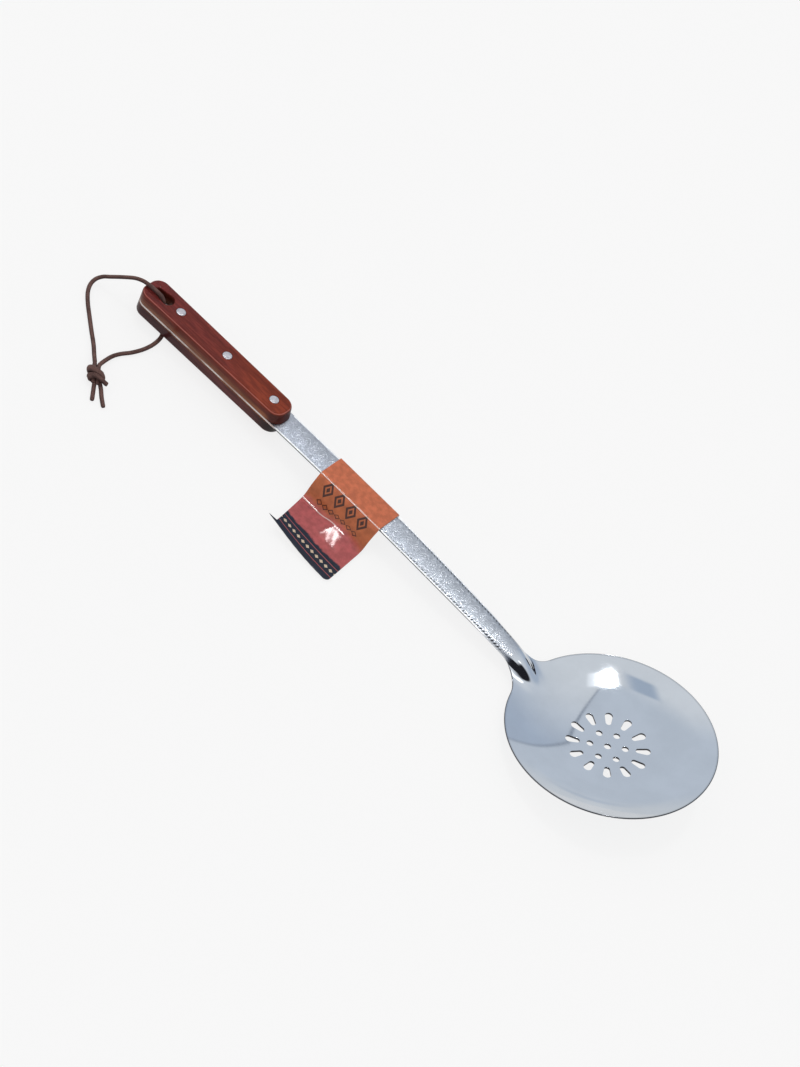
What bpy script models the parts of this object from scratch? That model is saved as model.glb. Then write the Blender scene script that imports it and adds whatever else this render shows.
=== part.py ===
"""Long-handled skimmer: a stamped steel blade, a riveted wooden grip, a lace and a card sleeve.

The blade is drawn in its own frame: the bowl's rim lies in the plane z = 0 round the origin,
and the shank leaves towards -X. An empty then tilts the whole tool so that it lies on the
plane z = 0, on the bowl's underside and on the lace that passes below the grip.
"""

import math

import bmesh
import bpy
import numpy as np
from mathutils import Vector
from mathutils.geometry import delaunay_2d_cdt

MM = 0.001

# Sheet steel
STEEL_THICKNESS = 1.5 * MM
RIM_THICKNESS = 0.9 * MM
RIM_THINNING_WIDTH = 20.0 * MM

# Bowl, measured on the middle of the sheet
BOWL_RADIUS = 65.0 * MM
BOWL_DEPTH = 12.2 * MM
BOWL_CENTRE_CURVE_RADIUS = 250.0 * MM

# Perforations
SLOT_COUNT = 12
SLOT_RING_RADIUS = 21.6 * MM
SLOT_LENGTH = 9.0 * MM
SLOT_OUTER_RADIUS = 2.45 * MM
SLOT_INNER_RADIUS = 1.7 * MM
INNER_HOLE_COUNT = 6
INNER_HOLE_RING_RADIUS = 10.8 * MM
INNER_HOLE_DIAMETER = 4.1 * MM
CENTRE_HOLE_DIAMETER = 4.3 * MM
PATTERN_TURN = math.radians(4.5)

# Neck: the sheet lifts out of the bowl towards the shank and carries a pressed rib
NECK_REACH = 13.0 * MM
NECK_RISE = 10.2 * MM
NECK_WIDTH = 14.8 * MM
NECK_SLOPE = math.radians(17.2)
NECK_FILLET_RADIUS = 18.0 * MM
LIFT_NOSE = 15.0 * MM
LIFT_HALF_WIDTH = 7.0 * MM
EDGE_DROP = 3.0 * MM
RIB_HEIGHT = 3.2 * MM
RIB_OVERHANG = 0.3 * MM
RIB_POWER = 8.0
RIB_FADE_LENGTH = 45.0 * MM
RIB_NOSE = 4.5 * MM
RIB_NOSE_LENGTH = 27.5 * MM
ARCH_HEIGHT = 0.9 * MM
ARCH_FADE_LENGTH = 130.0 * MM
ARCH_LIMIT = 2.0

# Shank, bowed gently between the neck and the grip
SHANK_LENGTH = 199.5 * MM
SHANK_WIDTH = 18.2 * MM
SHANK_TAPER_POWER = 4.0
GRIP_SLOPE = math.radians(12.4)

# Grip
GRIP_LENGTH = 124.3 * MM
GRIP_REAR_WIDTH = 20.4 * MM
GRIP_CORNER_RADIUS = 7.5 * MM
SCALE_THICKNESS = 8.3 * MM
SCALE_EDGE_RADIUS = 2.0 * MM
SCALE_FRONT_LEAN = 1.5 * MM
SEAT_GAP = 0.3 * MM

# Hanging eye, a tapered slot through grip and tang
EYE_FROM_END = 5.6 * MM
EYE_LENGTH = 15.6 * MM
EYE_FRONT_RADIUS = 4.4 * MM
EYE_REAR_RADIUS = 3.0 * MM

# Two-part rivets
RIVET_NAMES = ("rear", "middle", "front")
REAR_RIVET_FROM_END = 28.6 * MM
RIVET_SPACING = 41.35 * MM
RIVET_HEAD_DIAMETER = 6.2 * MM
RIVET_HEAD_THICKNESS = 1.2 * MM
RIVET_CHAMFER = 0.2 * MM
RIVET_TUBE_DIAMETER = 4.0 * MM
RIVET_PIN_DIAMETER = 2.0 * MM
RIVET_CLEARANCE = 0.3 * MM

# Card sleeve, looped round the shank with both ends lying on the ground
SLEEVE_FROM_GRIP = 40.3 * MM
SLEEVE_LENGTH = 51.0 * MM
CARD_THICKNESS = 0.4 * MM
CARD_CLEARANCE = 0.5 * MM
CARD_FOLD_RADIUS = 1.0 * MM
CARD_BEND_RADIUS = 7.0 * MM
FRONT_BEND_OFFSET = 11.0 * MM
BACK_BEND_OFFSET = 8.0 * MM
FRONT_PANEL_REACH = 46.0 * MM
BACK_PANEL_REACH = 38.4 * MM
CARD_GROUND_GAP = 0.8 * MM
CARD_LAYER_GAP = 0.4 * MM
CARD_UNDER_SLACK = 2.4 * MM
FRONT_PANEL_SKEW = 4.9 * MM
FRONT_PANEL_NARROWING = 3.8 * MM
BACK_PANEL_SKEW = 2.8 * MM
FRONT_CORNER_LIFT = 7.0 * MM

# Leather lace. Its places are in mm from the middle of the eye's wide end: in the eye x, y and the
# height above the grip's face (or below the lower face), beside the grip x, y and the height above
# the ground.
LACE_DIAMETER = 2.4 * MM
LACE_CROSSING_FROM_END = 19.0 * MM
LACE_GROUND_GAP = 0.1 * MM
LACE_MEETING = (-0.4, -2.3)
LACE_EYE_TOP = ((-0.4, -2.3, -4.6), (-1.0, -2.4, -1.6), (-3.4, -2.7, 1.0), (-7.0, -3.0, 1.7))
LACE_OVER_GRIP = ((-10.8, -3.1, 1.7), (-14.7, -3.3, 1.6), (-19.4, -4.0, 1.1))
LACE_OVER_ROUTE = (
    (-25.0, -5.2, 19.9),
    (-32.0, -7.4, 15.0),
    (-38.8, -10.1, 10.0),
    (-42.7, -11.6, 7.0),
    (-44.9, -15.1, 4.6),
    (-44.3, -19.8, 2.9),
    (-40.9, -25.0, 1.9),
    (-34.6, -30.9, 1.5),
    (-26.8, -37.0, 1.3),
    (-17.8, -44.0, 1.3),
    (-8.7, -51.0, 1.6),
    (-2.3, -56.9, 2.4),
)
LACE_EYE_BASE = ((-0.5, -2.2, -5.4), (-0.8, -1.6, -2.4), (0.0, -1.4, 0.4), (2.1, -2.8, 1.5))
LACE_UNDER_ROUTE = (
    (5.2, -5.0, 1.35),
    (9.3, -7.0, 1.35),
    (11.4, -12.8, 1.35),
    (12.0, -19.8, 1.35),
    (11.2, -27.2, 1.35),
    (9.1, -34.7, 1.35),
    (6.2, -41.4, 1.35),
    (4.8, -47.2, 1.5),
    (5.1, -54.1, 2.4),
)
LACE_POINT_SPACING = 1.5 * LACE_DIAMETER

# Knot and the two loose ends below it
KNOT_PLACE = (9.4, -67.4, 4.6)
KNOT_TURN = math.radians(-41.0)
KNOT_LENGTH = 12.6 * MM
KNOT_WIDTH = 12.2 * MM
KNOT_HEIGHT = 8.6 * MM
KNOT_GROOVE_DEPTH = 0.5 * MM
KNOT_GROOVES = 5
KNOT_TWIST = 2.5
PORT_LENGTH = 1.5 * MM
STRAND_PORT_HEIGHT = -0.1 * KNOT_HEIGHT
TAIL_PORT_HEIGHT = -0.2 * KNOT_HEIGHT
OVER_PORT = math.radians(144.0)
UNDER_PORT = math.radians(113.0)
LONG_TAIL_PORT = math.radians(-22.0)
SHORT_TAIL_PORT = math.radians(-49.0)
LONG_TAIL_ROUTE = ((19.6, -72.0, 1.5), (24.2, -75.8, 1.35), (30.3, -80.3, 1.35))
SHORT_TAIL_ROUTE = ((15.9, -74.6, 1.5), (18.8, -78.0, 1.35), (22.5, -82.5, 1.35))

# Facets
RIM_STEPS = 96
ROUND_STEPS = 20
SLOT_STEPS = 7
HOLE_STEPS = 12
EYE_STEPS = 10
FILLET_STEPS = 10
CORNER_STEPS = 8
EDGE_STEPS = 5
CARD_BEND_STEPS = 5
CARD_COLUMNS = 7
KNOT_STEPS = 14
ROUTE_STEPS = 12
BOWL_RINGS = 11
BOWL_POINT_SPACING = 5.5 * MM
BOWL_POINTS_LEAST = 12
BOWL_POINTS_MOST = 54
LIFT_POINT_SPACING = 3.0 * MM
LIFT_POINTS_HALF_WIDTH = 18.0 * MM
RIB_POINT_SPACING = 1.5 * MM
RIB_POINTS_HALF_WIDTH = 10.5 * MM
RIB_POINTS_PAST_NOSE = 3.0 * MM
RIB_COLUMNS = (-0.87, -0.72, -0.4, 0.0, 0.4, 0.72, 0.87)
SHANK_COLUMNS = (-0.5, 0.0, 0.5)
NECK_ROWS = 12
BOW_ROWS = 12
CLEAR_OF_OUTLINE = 0.8 * MM
CLEAR_OF_HOLE = 1.2 * MM
SMOOTH_ANGLE = math.radians(35.0)
SLOPE_STEP = 0.02 * MM


def clear_scene():
    for obj in list(bpy.data.objects):
        bpy.data.objects.remove(obj, do_unlink=True)


def material(name, colour, roughness, metallic):
    shader = bpy.data.materials.new(name)
    shader.use_nodes = True
    socket = shader.node_tree.nodes["Principled BSDF"].inputs
    socket["Base Color"].default_value = (*colour, 1.0)
    socket["Roughness"].default_value = roughness
    socket["Metallic"].default_value = metallic
    return shader


def add_object(name, mesh, parent, shader=None):
    obj = bpy.data.objects.new(name, mesh)
    bpy.context.scene.collection.objects.link(obj)
    obj.parent = parent
    if shader:
        mesh.materials.append(shader)
    return obj


def add_empty(name, parent=None):
    empty = bpy.data.objects.new(name, None)
    bpy.context.scene.collection.objects.link(empty)
    empty.parent = parent
    return empty


def mesh_from(name, points, faces):
    """A closed mesh with its faces turned outwards."""
    mesh = bpy.data.meshes.new(name)
    mesh.from_pydata([tuple(p) for p in points], [], [tuple(f) for f in faces])
    shell = bmesh.new()
    shell.from_mesh(mesh)
    bmesh.ops.recalc_face_normals(shell, faces=shell.faces)
    shell.to_mesh(mesh)
    shell.free()
    mesh.shade_smooth()
    mesh.set_sharp_from_angle(angle=SMOOTH_ANGLE)
    return mesh


def arc(centre, radius, start, end, steps):
    """Points of a circular arc, both ends included."""
    angles = np.linspace(start, end, steps + 1)
    return np.column_stack((centre[0] + radius * np.cos(angles), centre[1] + radius * np.sin(angles)))


def smooth_step(t):
    t = np.clip(t, 0.0, 1.0)
    return t * t * t * (t * (6.0 * t - 15.0) + 10.0)


# Blade surface. A point of the unrolled sheet is (u, v): u runs along the tool and equals x in
# the bowl, v runs across it. Everything below u = NECK_X belongs to the shank and the tang.

NECK_X = -(BOWL_RADIUS + NECK_REACH)
GRIP_FRONT_U = NECK_X - SHANK_LENGTH
GRIP_REAR_U = GRIP_FRONT_U - GRIP_LENGTH
BOW_RADIUS = SHANK_LENGTH / (NECK_SLOPE - GRIP_SLOPE)


def bowl_height(radius):
    """Dish profile: a quadratic set by the curve at the centre, and a quartic that lifts the rim."""
    quadratic = 0.5 / BOWL_CENTRE_CURVE_RADIUS
    quartic = (BOWL_DEPTH - quadratic * BOWL_RADIUS**2) / BOWL_RADIUS**4
    rim_slope = 2.0 * quadratic * BOWL_RADIUS + 4.0 * quartic * BOWL_RADIUS**3
    inside = np.minimum(radius, BOWL_RADIUS)
    dish = -BOWL_DEPTH + quadratic * inside**2 + quartic * inside**4
    return dish + rim_slope * np.maximum(radius - BOWL_RADIUS, 0.0)


def shank_line(distance):
    """Place and slope of the shank's middle line at a distance from the neck, as x, z, angle."""
    along = np.clip(distance, 0.0, SHANK_LENGTH)
    angle = NECK_SLOPE - along / BOW_RADIUS
    x = NECK_X - BOW_RADIUS * (math.sin(NECK_SLOPE) - np.sin(angle))
    z = NECK_RISE + BOW_RADIUS * (np.cos(angle) - math.cos(NECK_SLOPE))
    beyond = np.maximum(distance - SHANK_LENGTH, 0.0)
    return x - beyond * np.cos(angle), z + beyond * np.sin(angle), angle


def half_width(u):
    """Half the sheet's width along shank and tang."""
    distance = np.clip((NECK_X - u) / SHANK_LENGTH, 0.0, 1.0)
    shank = NECK_WIDTH + (SHANK_WIDTH - NECK_WIDTH) * (1.0 - (1.0 - distance) ** SHANK_TAPER_POWER)
    along_grip = np.clip((GRIP_FRONT_U - u) / GRIP_LENGTH, 0.0, 1.0)
    return 0.5 * (shank + (GRIP_REAR_WIDTH - SHANK_WIDTH) * along_grip)


def rib_rise(u, v):
    """Height of the pressed rib, square to the sheet, less the shank's gentle arch from side to side."""
    distance = NECK_X - u
    across = v / (half_width(u) + RIB_OVERHANG)
    past = np.maximum(u + BOWL_RADIUS - RIB_NOSE + RIB_NOSE_LENGTH, 0.0) / RIB_NOSE_LENGTH
    outline = np.hypot(across, past) ** RIB_POWER
    height = RIB_HEIGHT * (1.0 - smooth_step(distance / RIB_FADE_LENGTH))
    arch = ARCH_HEIGHT * (1.0 - smooth_step(distance / ARCH_FADE_LENGTH))
    arch = arch * np.minimum(across**2, ARCH_LIMIT)
    on_shank = smooth_step(distance / (0.5 * RIB_FADE_LENGTH))
    return height * np.exp(-outline) - arch * np.exp(-(1.0 - on_shank) * outline)


def blade_surface(u, v):
    """Middle of the sheet as an array of x, y, z."""
    distance = NECK_X - u
    line_x, line_z, angle = shank_line(distance)
    rib = rib_rise(u, v) / np.cos(angle)
    drop = EDGE_DROP * (1.0 - smooth_step(distance / RIB_FADE_LENGTH)) / np.cos(angle)
    shank = np.column_stack((line_x, v, line_z + rib - drop))

    nose_u = LIFT_NOSE - BOWL_RADIUS
    run_in = np.clip((nose_u - u) / (nose_u - NECK_X), 0.0, 1.0)
    blend = smooth_step(run_in) * np.exp(-(1.0 - run_in) * (v / LIFT_HALF_WIDTH) ** 4)
    beside_rib = NECK_RISE + distance * math.tan(NECK_SLOPE) - EDGE_DROP / math.cos(NECK_SLOPE)
    dish = bowl_height(np.hypot(u, v))
    bowl = np.column_stack((u, v, dish + blend * (beside_rib - dish) + rib))
    return np.where((u < NECK_X)[:, None], shank, bowl)


def blade_normals(u, v):
    """Unit normals of the sheet from its slopes along and across."""
    along = blade_surface(u + SLOPE_STEP, v) - blade_surface(u - SLOPE_STEP, v)
    across = blade_surface(u, v + SLOPE_STEP) - blade_surface(u, v - SLOPE_STEP)
    normals = np.cross(along, across)
    return normals / np.linalg.norm(normals, axis=1)[:, None]


def sheet_thickness(u, v):
    """Thickness of the sheet, which thins towards the bowl's rim but not at the neck."""
    at_rim = smooth_step((np.hypot(u, v) - BOWL_RADIUS + RIM_THINNING_WIDTH) / RIM_THINNING_WIDTH)
    beside_neck = smooth_step((u - NECK_X) / NECK_FILLET_RADIUS)
    return STEEL_THICKNESS - (STEEL_THICKNESS - RIM_THICKNESS) * at_rim * beside_neck


def tapered_slot(front, front_radius, rear, rear_radius, steps):
    """Closed outline round two circles of unlike radius and the two lines that touch both."""
    axis = rear - front
    distance = np.linalg.norm(axis)
    heading = math.atan2(axis[1], axis[0])
    lean = math.acos((front_radius - rear_radius) / distance)
    front_end = arc(front, front_radius, heading + lean, heading + 2.0 * math.pi - lean, steps)
    rear_end = arc(rear, rear_radius, heading - lean, heading + lean, steps)
    return np.vstack((front_end, rear_end))


def circle(centre, diameter, steps):
    return arc(centre, 0.5 * diameter, 0.0, 2.0 * math.pi, steps)[:-1]


def perforations():
    """Outlines of the bowl's holes: a ring of egg-shaped slots, a ring of holes and one at the centre."""
    outlines = [circle((0.0, 0.0), CENTRE_HOLE_DIAMETER, HOLE_STEPS)]
    for index in range(INNER_HOLE_COUNT):
        angle = PATTERN_TURN + 2.0 * math.pi * (1.0 / SLOT_COUNT + index / INNER_HOLE_COUNT)
        centre = INNER_HOLE_RING_RADIUS * np.array((math.cos(angle), math.sin(angle)))
        outlines.append(circle(centre, INNER_HOLE_DIAMETER, HOLE_STEPS))
    for index in range(SLOT_COUNT):
        angle = PATTERN_TURN + 2.0 * math.pi * index / SLOT_COUNT
        outward = np.array((math.cos(angle), math.sin(angle)))
        outer = (SLOT_RING_RADIUS + 0.5 * SLOT_LENGTH - SLOT_OUTER_RADIUS) * outward
        inner = (SLOT_RING_RADIUS - 0.5 * SLOT_LENGTH + SLOT_INNER_RADIUS) * outward
        outlines.append(tapered_slot(outer, SLOT_OUTER_RADIUS, inner, SLOT_INNER_RADIUS, SLOT_STEPS))
    return outlines


def eye_outline(rear_end):
    """Outline of the hanging eye for a grip whose rear end is at rear_end."""
    rear = np.array((rear_end + EYE_FROM_END + EYE_REAR_RADIUS, 0.0))
    front = np.array((rear_end + EYE_FROM_END + EYE_LENGTH - EYE_FRONT_RADIUS, 0.0))
    return tapered_slot(front, EYE_FRONT_RADIUS, rear, EYE_REAR_RADIUS, EYE_STEPS)


def rivet_places(rear_end):
    return [rear_end + REAR_RIVET_FROM_END + RIVET_SPACING * index for index in range(len(RIVET_NAMES))]


def shank_rows():
    """Places along the shank where the sheet has a row of points: beside the rib, then up to the grip."""
    near_neck = np.linspace(NECK_X, NECK_X - RIB_FADE_LENGTH, NECK_ROWS + 1)[1:]
    bowed = np.linspace(NECK_X - RIB_FADE_LENGTH, GRIP_FRONT_U, BOW_ROWS)[1:]
    return near_neck, bowed


def blade_outline():
    """Plan of the unrolled sheet, anticlockwise from the rim's far point."""
    fillet_y = 0.5 * NECK_WIDTH + NECK_FILLET_RADIUS
    fillet_x = -math.sqrt((BOWL_RADIUS + NECK_FILLET_RADIUS) ** 2 - fillet_y**2)
    tangent = math.atan2(fillet_y, fillet_x)
    rim = arc((0.0, 0.0), BOWL_RADIUS, 0.0, tangent, RIM_STEPS // 2)
    fillet = arc((fillet_x, fillet_y), NECK_FILLET_RADIUS, tangent - math.pi, -0.5 * math.pi, FILLET_STEPS)
    rows = np.concatenate(shank_rows())
    rows = rows[rows < fillet_x - CLEAR_OF_OUTLINE]
    shank = np.column_stack((rows, half_width(rows)))
    corner_u = GRIP_REAR_U + GRIP_CORNER_RADIUS
    corner_v = half_width(np.array([corner_u]))[0] - GRIP_CORNER_RADIUS
    corner = arc((corner_u, corner_v), GRIP_CORNER_RADIUS, 0.5 * math.pi, math.pi, CORNER_STEPS)
    upper = np.vstack((rim, fillet[1:], shank, corner))
    lower = upper[::-1] * (1.0, -1.0)
    return np.vstack((upper, lower[:-1]))


def distance_to_outline(points, outline):
    """Least distance from each point to a closed outline."""
    start = outline
    edge = np.roll(outline, -1, axis=0) - start
    offset = points[:, None, :] - start[None, :, :]
    share = np.clip((offset * edge).sum(2) / (edge * edge).sum(1), 0.0, 1.0)
    return np.linalg.norm(offset - share[..., None] * edge, axis=2).min(1)


def inside_outline(points, outline):
    """True for each point inside a closed outline, by counting crossings of a ray along +u."""
    start = outline
    end = np.roll(outline, -1, axis=0)
    spans = (start[:, 1] > points[:, None, 1]) != (end[:, 1] > points[:, None, 1])
    rise = np.where(end[:, 1] == start[:, 1], 1.0, end[:, 1] - start[:, 1])
    cross = start[:, 0] + (points[:, None, 1] - start[:, 1]) * (end[:, 0] - start[:, 0]) / rise
    return ((spans & (points[:, None, 0] < cross)).sum(1) % 2) == 1


def grid_from_neck(length, half_breadth, spacing):
    """Points of an even grid that starts at the neck and runs into the bowl."""
    along, across = np.meshgrid(
        NECK_X + np.arange(0.0, length + SLOPE_STEP, spacing),
        np.arange(-half_breadth, half_breadth + SLOPE_STEP, spacing),
    )
    return np.column_stack((along.ravel(), across.ravel()))


def outside_grid(points, length, half_breadth):
    """True for each point that keeps clear of such a grid."""
    past = points[:, 0] > NECK_X + length + CLEAR_OF_OUTLINE
    return past | (np.abs(points[:, 1]) > half_breadth + CLEAR_OF_OUTLINE)


def blade_inner_points(outline, holes):
    """Points inside the sheet: rings in the bowl, finer grids at the neck and rows along the shank."""
    spacing = BOWL_POINT_SPACING
    rings = []
    for radius in np.linspace(spacing, BOWL_RADIUS - spacing, BOWL_RINGS):
        steps = round(2.0 * math.pi * radius / spacing)
        steps = int(np.clip(steps, BOWL_POINTS_LEAST, BOWL_POINTS_MOST))
        rings.append(circle((0.0, 0.0), 2.0 * radius, steps))
    bowl = np.vstack(rings)
    lift_length = NECK_REACH + LIFT_NOSE
    lift = grid_from_neck(lift_length, LIFT_POINTS_HALF_WIDTH, LIFT_POINT_SPACING)
    rib_length = NECK_REACH + RIB_NOSE + RIB_POINTS_PAST_NOSE
    rib = grid_from_neck(rib_length, RIB_POINTS_HALF_WIDTH, RIB_POINT_SPACING)
    bowl = bowl[outside_grid(bowl, lift_length, LIFT_POINTS_HALF_WIDTH)]
    lift = lift[outside_grid(lift, rib_length, RIB_POINTS_HALF_WIDTH)]
    near_neck, bowed = shank_rows()
    shank = [np.column_stack((near_neck, share * half_width(near_neck))) for share in RIB_COLUMNS]
    shank += [np.column_stack((bowed, share * half_width(bowed))) for share in SHANK_COLUMNS]
    points = np.vstack([bowl, lift, rib] + shank)
    clear = inside_outline(points, outline) & (distance_to_outline(points, outline) > CLEAR_OF_OUTLINE)
    for hole in holes:
        clear &= ~inside_outline(points, hole) & (distance_to_outline(points, hole) > CLEAR_OF_HOLE)
    return points[clear]


def loop_edges(start, count):
    return [(start + i, start + (i + 1) % count) for i in range(count)]


def blade_mesh():
    """The stamping: its plan is cut into triangles, pressed to shape and given its thickness."""
    outline = blade_outline()
    bores = [
        circle((place, 0.0), RIVET_TUBE_DIAMETER + 2.0 * RIVET_CLEARANCE, ROUND_STEPS)
        for place in rivet_places(GRIP_REAR_U)
    ]
    holes = perforations() + bores + [eye_outline(GRIP_REAR_U)]
    loops = [outline] + holes
    edges = []
    start = 0
    for loop in loops:
        edges += loop_edges(start, len(loop))
        start += len(loop)
    plan = np.vstack(loops + [blade_inner_points(outline, holes)])
    cut = delaunay_2d_cdt([Vector(p / MM) for p in plan], edges, [], 1, 1e-4)
    plan = np.array([tuple(p) for p in cut[0]]) * MM
    triangles = np.array([tuple(t) for t in cut[2]])
    centres = plan[triangles].mean(1)
    for hole in holes:
        keep = ~inside_outline(centres, hole)
        triangles = triangles[keep]
        centres = centres[keep]

    middle = blade_surface(plan[:, 0], plan[:, 1])
    half_thickness = 0.5 * sheet_thickness(plan[:, 0], plan[:, 1])
    offset = half_thickness[:, None] * blade_normals(plan[:, 0], plan[:, 1])
    count = len(plan)
    faces = [tuple(t) for t in triangles]
    faces += [tuple(t[::-1] + count) for t in triangles]
    sides = {}
    for t in triangles:
        for a, b in ((t[0], t[1]), (t[1], t[2]), (t[2], t[0])):
            sides[(a, b)] = (b, a) not in sides
            if (b, a) in sides:
                sides[(b, a)] = False
    faces += [(b, a, a + count, b + count) for (a, b), free in sides.items() if free]
    return mesh_from("blade", np.vstack((middle + offset, middle - offset)), faces)


def scale_outline(inset, lean):
    """Plan of a grip scale with its front end at x = 0, drawn in by inset, front set back by lean."""
    radius = GRIP_CORNER_RADIUS - inset
    rear_x = -GRIP_LENGTH + GRIP_CORNER_RADIUS
    front_x = -GRIP_CORNER_RADIUS - lean
    rear_y = half_width(np.array([GRIP_FRONT_U + rear_x]))[0] - GRIP_CORNER_RADIUS
    front_y = half_width(np.array([GRIP_FRONT_U + front_x]))[0] - GRIP_CORNER_RADIUS
    quarter = 0.5 * math.pi
    corners = (
        ((front_x, front_y), 0.0),
        ((rear_x, rear_y), quarter),
        ((rear_x, -rear_y), 2.0 * quarter),
        ((front_x, -front_y), 3.0 * quarter),
    )
    return np.vstack([arc(centre, radius, start, start + quarter, CORNER_STEPS) for centre, start in corners])


def scale_mesh(name, side):
    """A grip scale, flat on the tang and rounded along its outer edge; side is 1 above, -1 below."""
    seat = 0.5 * STEEL_THICKNESS + SEAT_GAP
    wall = SCALE_THICKNESS - SCALE_EDGE_RADIUS
    rings = [(0.0, 0.0)]
    for angle in np.linspace(0.0, 0.5 * math.pi, EDGE_STEPS + 1):
        inset = SCALE_EDGE_RADIUS * (1.0 - math.cos(angle))
        rings.append((inset, wall + SCALE_EDGE_RADIUS * math.sin(angle)))
    points = []
    for inset, height in rings:
        outline = scale_outline(inset, SCALE_FRONT_LEAN * height / SCALE_THICKNESS)
        points.append(np.column_stack((outline, np.full(len(outline), side * (seat + height)))))
    count = len(points[0])
    faces = [tuple(range(count)), tuple(range(count * (len(rings) - 1), count * len(rings)))]
    for ring in range(len(rings) - 1):
        for a, b in loop_edges(ring * count, count):
            faces.append((a, b, b + count, a + count))
    return mesh_from(name, np.vstack(points), faces)


def turned_mesh(name, profile, x):
    """A body turned about the vertical axis at x, from a profile of radius and height that ends on it."""
    angles = np.linspace(0.0, 2.0 * math.pi, ROUND_STEPS, endpoint=False)
    points = [(x, 0.0, profile[0][1])]
    for radius, height in profile[1:-1]:
        points += [(x + radius * math.cos(a), radius * math.sin(a), height) for a in angles]
    points.append((x, 0.0, profile[-1][1]))
    last = len(points) - 1
    faces = []
    for a, b in loop_edges(1, ROUND_STEPS):
        faces.append((0, a, b))
        faces.append((last, b + last - 1 - ROUND_STEPS, a + last - 1 - ROUND_STEPS))
    for ring in range(len(profile) - 3):
        for a, b in loop_edges(1 + ring * ROUND_STEPS, ROUND_STEPS):
            faces.append((a, a + ROUND_STEPS, b + ROUND_STEPS, b))
    return mesh_from(name, points, faces)


def grip_face_height():
    """Height of a scale's outer face above the middle of the tang."""
    return 0.5 * STEEL_THICKNESS + SEAT_GAP + SCALE_THICKNESS


def bore_profile(side):
    """Stepped bore for a rivet: the head's recess and the tube's way through one scale."""
    face = side * grip_face_height()
    ledge = face - side * (RIVET_HEAD_THICKNESS + RIVET_CLEARANCE)
    recess = 0.5 * RIVET_HEAD_DIAMETER + RIVET_CLEARANCE
    bore = 0.5 * RIVET_TUBE_DIAMETER + RIVET_CLEARANCE
    past = side * STEEL_THICKNESS
    head = [(0.0, face + past), (recess, face + past), (recess, ledge)]
    return head + [(bore, ledge), (bore, -past), (0.0, -past)]


def rivet_top_profile():
    """Upper rivet half: a flush head and the pin that is pressed into the tube."""
    face = grip_face_height()
    head = 0.5 * RIVET_HEAD_DIAMETER
    pin = 0.5 * RIVET_PIN_DIAMETER
    chamfer = RIVET_CHAMFER
    under = face - RIVET_HEAD_THICKNESS
    tip = -face + RIVET_HEAD_THICKNESS + RIVET_CLEARANCE
    rim = [(0.0, face), (head - chamfer, face), (head, face - chamfer), (head, under)]
    return rim + [(pin, under), (pin, tip), (0.0, tip)]


def rivet_base_profile():
    """Lower rivet half: a flush head and a tube that reaches up to the other head."""
    face = grip_face_height()
    head = 0.5 * RIVET_HEAD_DIAMETER
    tube = 0.5 * RIVET_TUBE_DIAMETER
    bore = 0.5 * RIVET_PIN_DIAMETER + RIVET_CLEARANCE
    chamfer = RIVET_CHAMFER
    under = -face + RIVET_HEAD_THICKNESS
    top = face - RIVET_HEAD_THICKNESS - RIVET_CLEARANCE
    return [
        (0.0, under),
        (bore, under),
        (bore, top),
        (tube, top),
        (tube, under),
        (head, under),
        (head, -face + chamfer),
        (head - chamfer, -face),
        (0.0, -face),
    ]


def prism_mesh(name, outline, low, high):
    """An outline in x, y carried from one height to another."""
    count = len(outline)
    points = [np.column_stack((outline, np.full(count, z))) for z in (low, high)]
    faces = [tuple(range(count)), tuple(range(count, 2 * count))]
    faces += [(a, b, b + count, a + count) for a, b in loop_edges(0, count)]
    return mesh_from(name, np.vstack(points), faces)


def cut_with(target, cutter):
    cutter.hide_render = True
    cutter.display_type = "WIRE"
    cut = target.modifiers.new(cutter.name, "BOOLEAN")
    cut.operation = "DIFFERENCE"
    cut.solver = "EXACT"
    cut.object = cutter


def make_scale(name, side, frame, wood):
    scale = add_object(name, scale_mesh(name, side), frame, wood)
    reach = grip_face_height() + STEEL_THICKNESS
    eye = prism_mesh(name + "_eye", eye_outline(-GRIP_LENGTH), -reach, reach)
    cut_with(scale, add_object(name + "_eye", eye, frame))
    for label, place in zip(RIVET_NAMES, rivet_places(-GRIP_LENGTH)):
        cutter_name = f"{name}_{label}_bore"
        bore = turned_mesh(cutter_name, bore_profile(side), place)
        cut_with(scale, add_object(cutter_name, bore, frame))
    return scale


def make_rivets(frame, metal):
    rivets = []
    for label, place in zip(RIVET_NAMES, rivet_places(-GRIP_LENGTH)):
        for half, profile in (("top", rivet_top_profile()), ("base", rivet_base_profile())):
            name = f"{label}_rivet_{half}"
            rivets.append(add_object(name, turned_mesh(name, profile, place), frame, metal))
    return rivets


def rounded_path(corners, radii):
    """A line through corners, each replaced by an arc of its radius; also each point's unit normal."""
    points = [corners[0]]
    for before, corner, after, radius in zip(corners[:-2], corners[1:-1], corners[2:], radii):
        back = (before - corner) / np.linalg.norm(before - corner)
        ahead = (after - corner) / np.linalg.norm(after - corner)
        half = 0.5 * math.acos(np.clip(back @ ahead, -1.0, 1.0))
        reach = radius / math.tan(half)
        centre = corner + (back + ahead) / np.linalg.norm(back + ahead) * radius / math.sin(half)
        first = corner + back * reach - centre
        last = corner + ahead * reach - centre
        turn = math.atan2(first[0] * last[1] - first[1] * last[0], first @ last)
        for share in np.linspace(0.0, 1.0, CARD_BEND_STEPS + 1):
            angle = math.atan2(first[1], first[0]) + turn * share
            points.append(centre + radius * np.array((math.cos(angle), math.sin(angle))))
    points.append(corners[-1])
    path = np.array(points)
    tangent = np.gradient(path, axis=0)
    tangent /= np.linalg.norm(tangent, axis=1)[:, None]
    return path, np.column_stack((-tangent[:, 1], tangent[:, 0]))


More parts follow.
